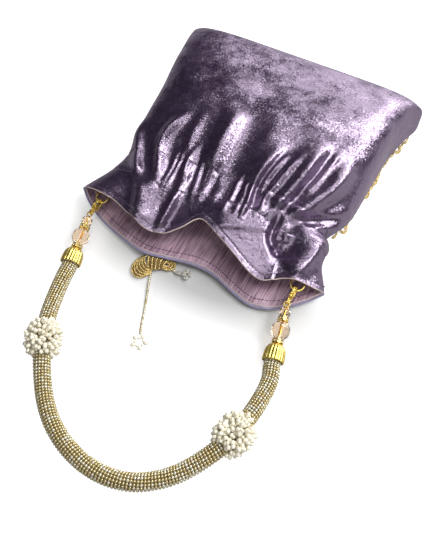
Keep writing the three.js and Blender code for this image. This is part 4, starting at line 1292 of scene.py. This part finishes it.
class POTLI_OT_trim(bpy.types.Operator):
    """Sews the bead band at the neck and the gold beadwork of the front"""

    bl_idname = "potli.trim"
    bl_label = "Front beadwork"
    # Rows of the neck band: share along the front, bead radius, material slot
    band_rows = ((0.232, 1.1, 1), (0.25, 1.5, 0), (0.268, 1.1, 1))
    band_half = 0.97
    band_points = 321
    band_seat = 0.8
    band_ball = (10, 7)
    # Beads of the flowers and scallops
    bead = 0.68
    bead_gap = 0.04
    bead_ball = (7, 5)
    # Flowers in staggered rows: rows and columns, place of the first, pitch, farthest x, size and petals
    floret_grid = (6, 5)
    floret_first = (-72, -8)
    floret_pitch = (36, 17)
    floret_stagger = 0.5
    floret_limit = 78
    floret_beads = 40
    floret_radius = 5.6
    floret_hollow = 0.35
    floret_petals = 5
    # Scallops along the side seams: two reaches, larger near the peaks, raised where they meet the cloth
    scallop_span = (-28, 84)
    scallop_pitch = 6.5
    scallop_beads = 11
    scallop_reaches = (3.4, 2.2)
    scallop_plain = 0.25
    scallop_grown = 0.85
    scallop_peaks = (71, 33, 20, -22)
    scallop_peak_width = 4
    scallop_inset = 1
    scallop_length = 1.3
    scallop_low = 1.0
    scallop_raise = 2.2
    foot_share = 0.86

    def execute(self, context):
        self.neck_band()
        self.beadwork()
        return {"FINISHED"}

    def foot(self, sign, y):
        """Where the front's side meets the table at a place along the bag."""
        points, _ = pouch_front()
        column = points[:, int((0.5 + 0.5 * sign * self.foot_share) * (points.shape[1] - 1))]
        return column[int(np.argmin(np.abs(column[:, 1] - y)))]

    def neck_band(self):
        """A row of pearls between two rows of gold beads across the front of the neck."""
        across = np.linspace(-self.band_half, self.band_half, self.band_points)
        parts = []
        for along, radius, _ in self.band_rows:
            points, normals = front_at(across, along)
            line = spaced(points + normals * radius * self.band_seat, 2 * radius)
            line[:, 2] = np.maximum(line[:, 2], radius + TABLE_GAP)
            parts.append(bead_heap(line, radius, ball(*self.band_ball)))
        points, faces, counts = joined(parts)
        slots = np.repeat([slot for _, _, slot in self.band_rows], counts)
        band = add_mesh("neck_pearls", points, faces, [pearl(), bead_gold()], slots)
        settle(band, "pearl", "neck_bead_trim")

    def florets(self):
        """Places of the beads of the small flowers over the front."""
        turn = circle(self.floret_beads)
        lobe = np.abs(np.cos(self.floret_petals / 2 * turn))
        radius = self.floret_radius * (self.floret_hollow + (1 - self.floret_hollow) * lobe)
        height = np.full(len(turn), self.bead + self.bead_gap)
        rows, columns = self.floret_grid
        made = []
        for i in range(rows):
            y = self.floret_first[1] + self.floret_pitch[1] * i
            for j in range(columns):
                shift = j + self.floret_stagger * (i % 2 - 0.5)
                x = self.floret_first[0] + self.floret_pitch[0] * shift
                if abs(x) <= self.floret_limit:
                    made.append(np.stack([x + radius * np.cos(turn), y + radius * np.sin(turn), height], 1))
        return made

    def scallops(self):
        """Places of the beads of the scallops along the front's two side seams."""
        arc = np.linspace(0, np.pi, self.scallop_beads)
        z = self.scallop_low + self.scallop_raise * (1 - np.sin(arc))
        made = []
        for sign in (-1, 1):
            for y in np.arange(*self.scallop_span, self.scallop_pitch):
                foot = self.foot(sign, y)
                nearest = min(abs(y - peak) for peak in self.scallop_peaks) / self.scallop_peak_width
                size = self.scallop_plain + self.scallop_grown * math.exp(-(nearest**2))
                for reach in self.scallop_reaches:
                    x = foot[0] + sign * (size * reach * np.sin(arc) - self.scallop_inset)
                    made.append(np.stack([x, foot[1] + self.scallop_length * reach * np.cos(arc), z], 1))
        return made

    def beadwork(self):
        """Flowers of gold beads over the front and scallops of them along its seams."""
        places = np.vstack(self.florets() + self.scallops())
        places[:, 2] = np.maximum(places[:, 2], self.bead + self.bead_gap)
        points, faces = bead_heap(places, self.bead, ball(*self.bead_ball))
        settle(add_mesh("front_beadwork", points, faces, [bow_gold()]), "seed_beads", body="bag")


# Clasps, rings and bead stacks

SMOOTH_FACTOR = 0.5


def softened(node, name, voxel, rounds, material, slot):
    """A finely meshed copy of a small cast or folded node, with its edges rounded."""
    mesh = NODES[node].data.copy()
    rough = bpy.data.objects.new(name, mesh)
    bpy.context.scene.collection.objects.link(rough)
    remesh = rough.modifiers.new("Fine mesh", "REMESH")
    remesh.mode, remesh.voxel_size = "VOXEL", voxel * MM
    soften = rough.modifiers.new("Round edges", "SMOOTH")
    soften.factor, soften.iterations = SMOOTH_FACTOR, rounds
    graph = bpy.context.evaluated_depsgraph_get()
    made = bpy.data.meshes.new_from_object(rough.evaluated_get(graph))
    rough.modifiers.clear()
    rough.data = made
    made.materials.clear()
    made.materials.append(material)
    made.polygons.foreach_set("use_smooth", np.full(len(made.polygons), True))
    return settle(rough, slot, node)


def gild(node):
    """Gives the gilt finish to a node of the frame that shows as it is."""
    NODES[node].data.materials.clear()
    NODES[node].data.materials.append(gold())


def turn_to(direction):
    """The turn from the Z axis onto a direction, as a matrix."""
    return np.array(Vector(UP).rotation_difference(Vector(direction)).to_matrix())


def on_axis(shape, middle, direction):
    """A shape turned from the Z axis onto a direction and moved to a place."""
    points, faces = shape
    return points @ turn_to(direction).T + middle, faces


class POTLI_OT_clasps(bpy.types.Operator):
    """Finishes the rings, their satin tabs and the lobster clasps"""

    bl_idname = "potli.clasps"
    bl_label = "Clasps and rings"
    # Gilt nodes and their pieces, with the voxel and the rounds of smoothing
    gilt = (
        ("clasp_body", "cast_clasp", 0.14, 6),
        ("clasp_lever", "cast_lever", 0.1, 4),
        ("handle_ring", "wire_ring", 0.12, 8),
    )
    tab_voxel = 0.16
    tab_rounds = 6

    def execute(self, context):
        for side in SIDES:
            for node, name, voxel, rounds in self.gilt:
                softened(f"{node}_{side}", f"{name}_{side}", voxel, rounds, gold(), "gold")
            tab, folded = f"ring_tab_{side}", f"folded_tab_{side}"
            softened(tab, folded, self.tab_voxel, self.tab_rounds, satin(), "satin")
            gild(f"clasp_rivet_{side}")
            gild(f"eye_pin_{side}")
        return {"FINISHED"}


class POTLI_OT_stacks(bpy.types.Operator):
    """Threads the glass beads, stone rondelles and fluted caps at the rope's ends"""

    bl_idname = "potli.stacks"
    bl_label = "Bead stacks"
    bore = 0.75
    # Faceted bead: radius and height of its rings of corners
    cut_rings = ((1.9, -3.5), (3.7, -1.6), (3.8, 1.6), (1.9, 3.5))
    cut_sides = 10
    round_radius = 6.3
    round_steps = 10
    round_sides = 14
    # Cap: radius and height from the bore over the outside to the mouth, then back inside to the bore
    cap_outside = (
        (bore, 0), (2.6, 0), (3.2, 0.15), (3.9, 0.7), (5.0, 1.7), (6.0, 3.0), (6.6, 4.4), (6.95, 6.5),
        (7.1, 9.5), (7.2, 11.8), (7.1, 12),
    )
    cap_inside = ((6.3, 12), (6.15, 11.6), (6.1, 5.8), (4.6, 2.8), (2.5, 0.9), (bore, 0.8))
    flutes = 18
    flute_steps = 10
    flute_depth = 0.085
    flute_span = (0.3, 3.5)
    flute_fullness = 0.6
    # Rondelle: stones, distance from the axis, half sizes round it, along it and outwards
    stones = 10
    stone_reach = 3.2
    stone_halves = (0.85, 0.62, 0.75)
    stone_ball = (6, 4)

    def execute(self, context):
        for side in SIDES:
            _, direction = stack_axis(side)
            self.faceted_bead(side, direction)
            self.round_bead(side, direction)
            self.end_cap(side, direction)
            for place in ("inner", "outer"):
                self.rondelle(f"{place}_rondelle_{side}", f"{place}_stones_{side}", direction)
        return {"FINISHED"}

    def faceted_bead(self, side, direction):
        node, sides = f"faceted_bead_{side}", self.cut_sides
        points, faces = [], []
        for k, (radius, height) in enumerate(self.cut_rings):
            angle = (np.arange(sides) + k / 2) * 2 * np.pi / sides
            ring = [radius * np.cos(angle), radius * np.sin(angle), np.full(sides, height)]
            points.append(np.stack(ring, 1))
        last = (len(self.cut_rings) - 1) * sides
        for start in range(0, last, sides):
            for j in range(sides):
                a, b = start + j, start + (j + 1) % sides
                faces += [[a, b, a + sides], [b, b + sides, a + sides]]
        faces += [list(range(sides))[::-1], list(range(last, last + sides))]
        made = on_axis((np.vstack(points), faces), node_points(node).mean(0), direction)
        settle(add_mesh(f"cut_bead_{side}", *made, [glass()], smooth=False), "crystal", node)

    def round_bead(self, side, direction):
        node, radius = f"round_bead_{side}", self.round_radius
        reach = math.acos(self.bore / radius)
        arc = np.linspace(-reach, reach, self.round_steps)
        shape = revolve(np.stack([radius * np.cos(arc), radius * np.sin(arc)], 1), self.round_sides)
        made = on_axis(shape, node_points(node).mean(0), direction)
        settle(add_mesh(f"glass_bead_{side}", *made, [glass()], smooth=False), "crystal", node)

    def end_cap(self, side, direction):
        node = f"end_cap_{side}"
        small, _ = cap_ends(side)

        def flute(angle, height):
            lobe = np.abs(np.sin(self.flutes * angle / 2)) ** self.flute_fullness
            depth = self.flute_depth * smoothstep(height, *self.flute_span)
            depth[len(self.cap_outside):] = 0
            return 1 - depth[:, None] * (1 - lobe)[None, :]

        shape = revolve(self.cap_outside + self.cap_inside, self.flute_steps * self.flutes, flute)
        made = on_axis(shape, small, direction)
        settle(add_mesh(f"fluted_cap_{side}", *made, [gold()]), "gold", node)

    def rondelle(self, node, name, direction):
        gild(node)
        middle, basis = node_points(node).mean(0), turn_to(direction)
        wide, thick, deep = self.stone_halves
        places, axes = [], []
        for angle in circle(self.stones):
            out = basis @ [math.cos(angle), math.sin(angle), 0]
            around = np.cross(direction, out)
            places.append(middle + self.stone_reach * out)
            axes.append(np.stack([wide * around, thick * direction, deep * out]))
        points, faces = copies(ball(*self.stone_ball), places, axes)
        stones = add_mesh(name, points, faces, [crystal()], smooth=False)
        settle(stones, "crystal", body="handle")


class POTLI_OT_stage(bpy.types.Operator):
    """Sets the floor, the lamps and the camera of the picture"""

    bl_idname = "potli.stage"
    bl_label = "Stage"
    # Lamps by the stage value of their power: name, place, target and size, in metres
    lamps = {
        "key": ("key_box", (0.62, 0.28, 0.92), (0.03, 0.0, 0.03), (0.95, 0.38)),
        "top": ("top_box", (0.05, 0.75, 0.95), (0.0, -0.02, 0.02), (0.6, 0.3)),
        "strip": ("top_strip", (0.04, -0.14, 1.2), (0.03, -0.06, 0.02), (0.3, 0.3)),
        "corner": ("corner_box", (0.45, 1.0, 0.7), (0.05, 0.03, 0.04), (0.45, 0.4)),
        "card": ("back_card", (0.2, 1.3, 0.36), (0.0, 0.0, 0.05), (1.5, 0.7)),
        "fill": ("fill_box", (0.25, -0.95, 0.85), (0.0, -0.08, 0.0), (1.0, 0.8)),
    }
    # Floor: radius and height of the corners of its section
    floor_section = ((0.001, -0.2), (4000, -0.2), (4000, -5), (0.001, -5))
    floor_sides = 64
    # The floor glows white to camera and transmission rays, a painted light that hides the lamps' shadows on
    # it, except round a place in front of the mouth where the real shade shows; it turns white over a span in
    # metres
    shade_place = (14, -100, 0)
    shade_squeeze = (0.36, 1, 1)
    glow_span = (0.016, 0.062)

    def execute(self, context):
        scene = context.scene
        scene.view_settings.view_transform = "Standard"
        self.camera(scene)
        self.floor()
        self.sky(scene)
        for power, lamp in self.lamps.items():
            self.lamp(getattr(stage(), power), *lamp)
        return {"FINISHED"}

    def camera(self, scene):
        data = bpy.data.cameras.new("picture_camera")
        data.lens, data.sensor_width = stage().lens, SENSOR
        data.clip_start = 0.01
        camera = bpy.data.objects.new("picture_camera", data)
        turn, tilt = math.radians(CAMERA_AZIMUTH), math.radians(CAMERA_ELEVATION)
        camera.location = Vector(CAMERA_PLACE) * MM
        camera.rotation_euler = (math.pi / 2 - tilt, 0, turn)
        scene.collection.objects.link(camera)
        scene.camera = camera

    def floor(self):
        paper = flecked(
            "pale_floor", stage().floor, rough=(0.85, 0.9), fade=0.01, scale=30, Specular_IOR_Level=0.1
        )
        tree = paper.node_tree
        path = tree.nodes.new("ShaderNodeLightPath").outputs
        seen = combine(tree, "MAXIMUM", path["Is Camera Ray"], path["Is Transmission Ray"])
        place = tree.nodes.new("ShaderNodeNewGeometry").outputs["Position"]
        away = vector_math(tree, "SUBTRACT", place, Vector(self.shade_place) * MM)
        squeezed = vector_math(tree, "MULTIPLY", away, Vector(self.shade_squeeze))
        distance = operate(tree, "ShaderNodeVectorMath", "LENGTH", squeezed)["Value"]
        # Painted glow: away from the shade place the floor emits white, which covers its real shadows
        painted_glow = combine(tree, "MULTIPLY", seen, spread_to(tree, distance, self.glow_span))
        shader = tree.nodes["Principled BSDF"]
        shader.inputs["Emission Color"].default_value = (1, 1, 1, 1)
        tree.links.new(painted_glow, shader.inputs["Emission Strength"])
        points, faces = revolve(self.floor_section, self.floor_sides)
        add_mesh("floor", points, faces, [paper], smooth=False)

    def sky(self, scene):
        world = bpy.data.worlds.new("soft_sky")
        world.use_nodes = True
        tree = world.node_tree
        sky = tree.nodes["Background"]
        sky.inputs["Color"].default_value = (1, 1, 1, 1)
        seen = tree.nodes.new("ShaderNodeLightPath").outputs["Is Camera Ray"]
        strength = spread_to(tree, seen, (0.0, 1.0), (stage().sky, 1.0))
        tree.links.new(strength, sky.inputs["Strength"])
        scene.world = world

    def lamp(self, power, name, place, target, size):
        data = bpy.data.lights.new(name, "AREA")
        data.shape, data.energy = "RECTANGLE", power
        data.size, data.size_y = size
        lamp = bpy.data.objects.new(name, data)
        lamp.location = place
        aim = Vector(target) - Vector(place)
        lamp.rotation_euler = aim.to_track_quat("-Z", "Y").to_euler()
        bpy.context.scene.collection.objects.link(lamp)


class POTLI_PT_panel(bpy.types.Panel):
    """Lists the bag's sizes and the pieces to build"""

    bl_idname = "POTLI_PT_panel"
    bl_label = "Potli bag"
    bl_space_type = "VIEW_3D"
    bl_region_type = "UI"
    bl_category = "Potli bag"

    def draw(self, context):
        for group in (context.scene.potli_cloth, context.scene.potli_beads, context.scene.potli_stage):
            box = self.layout.box()
            for name in group.__annotations__:
                box.prop(group, name)
        for operator in OPERATORS:
            self.layout.operator(operator.bl_idname)


GROUPS = {"potli_cloth": PotliCloth, "potli_beads": PotliBeads, "potli_stage": PotliStage}
OPERATORS = (
    POTLI_OT_stage,
    POTLI_OT_rope,
    POTLI_OT_tails,
    POTLI_OT_bow,
    POTLI_OT_pouch,
    POTLI_OT_lining,
    POTLI_OT_stitching,
    POTLI_OT_trim,
    POTLI_OT_clasps,
    POTLI_OT_stacks,
)


def register():
    for name, group in GROUPS.items():
        bpy.utils.register_class(group)
        setattr(bpy.types.Scene, name, PointerProperty(type=group))
    for item in (*OPERATORS, POTLI_PT_panel):
        bpy.utils.register_class(item)


def unregister():
    for item in (POTLI_PT_panel, *reversed(OPERATORS)):
        bpy.utils.unregister_class(item)
    for name, group in GROUPS.items():
        delattr(bpy.types.Scene, name)
        bpy.utils.unregister_class(group)


def main():
    register()
    for operator in OPERATORS:
        group, name = operator.bl_idname.split(".")
        getattr(getattr(bpy.ops, group), name)()


if __name__ == "__main__":
    main()
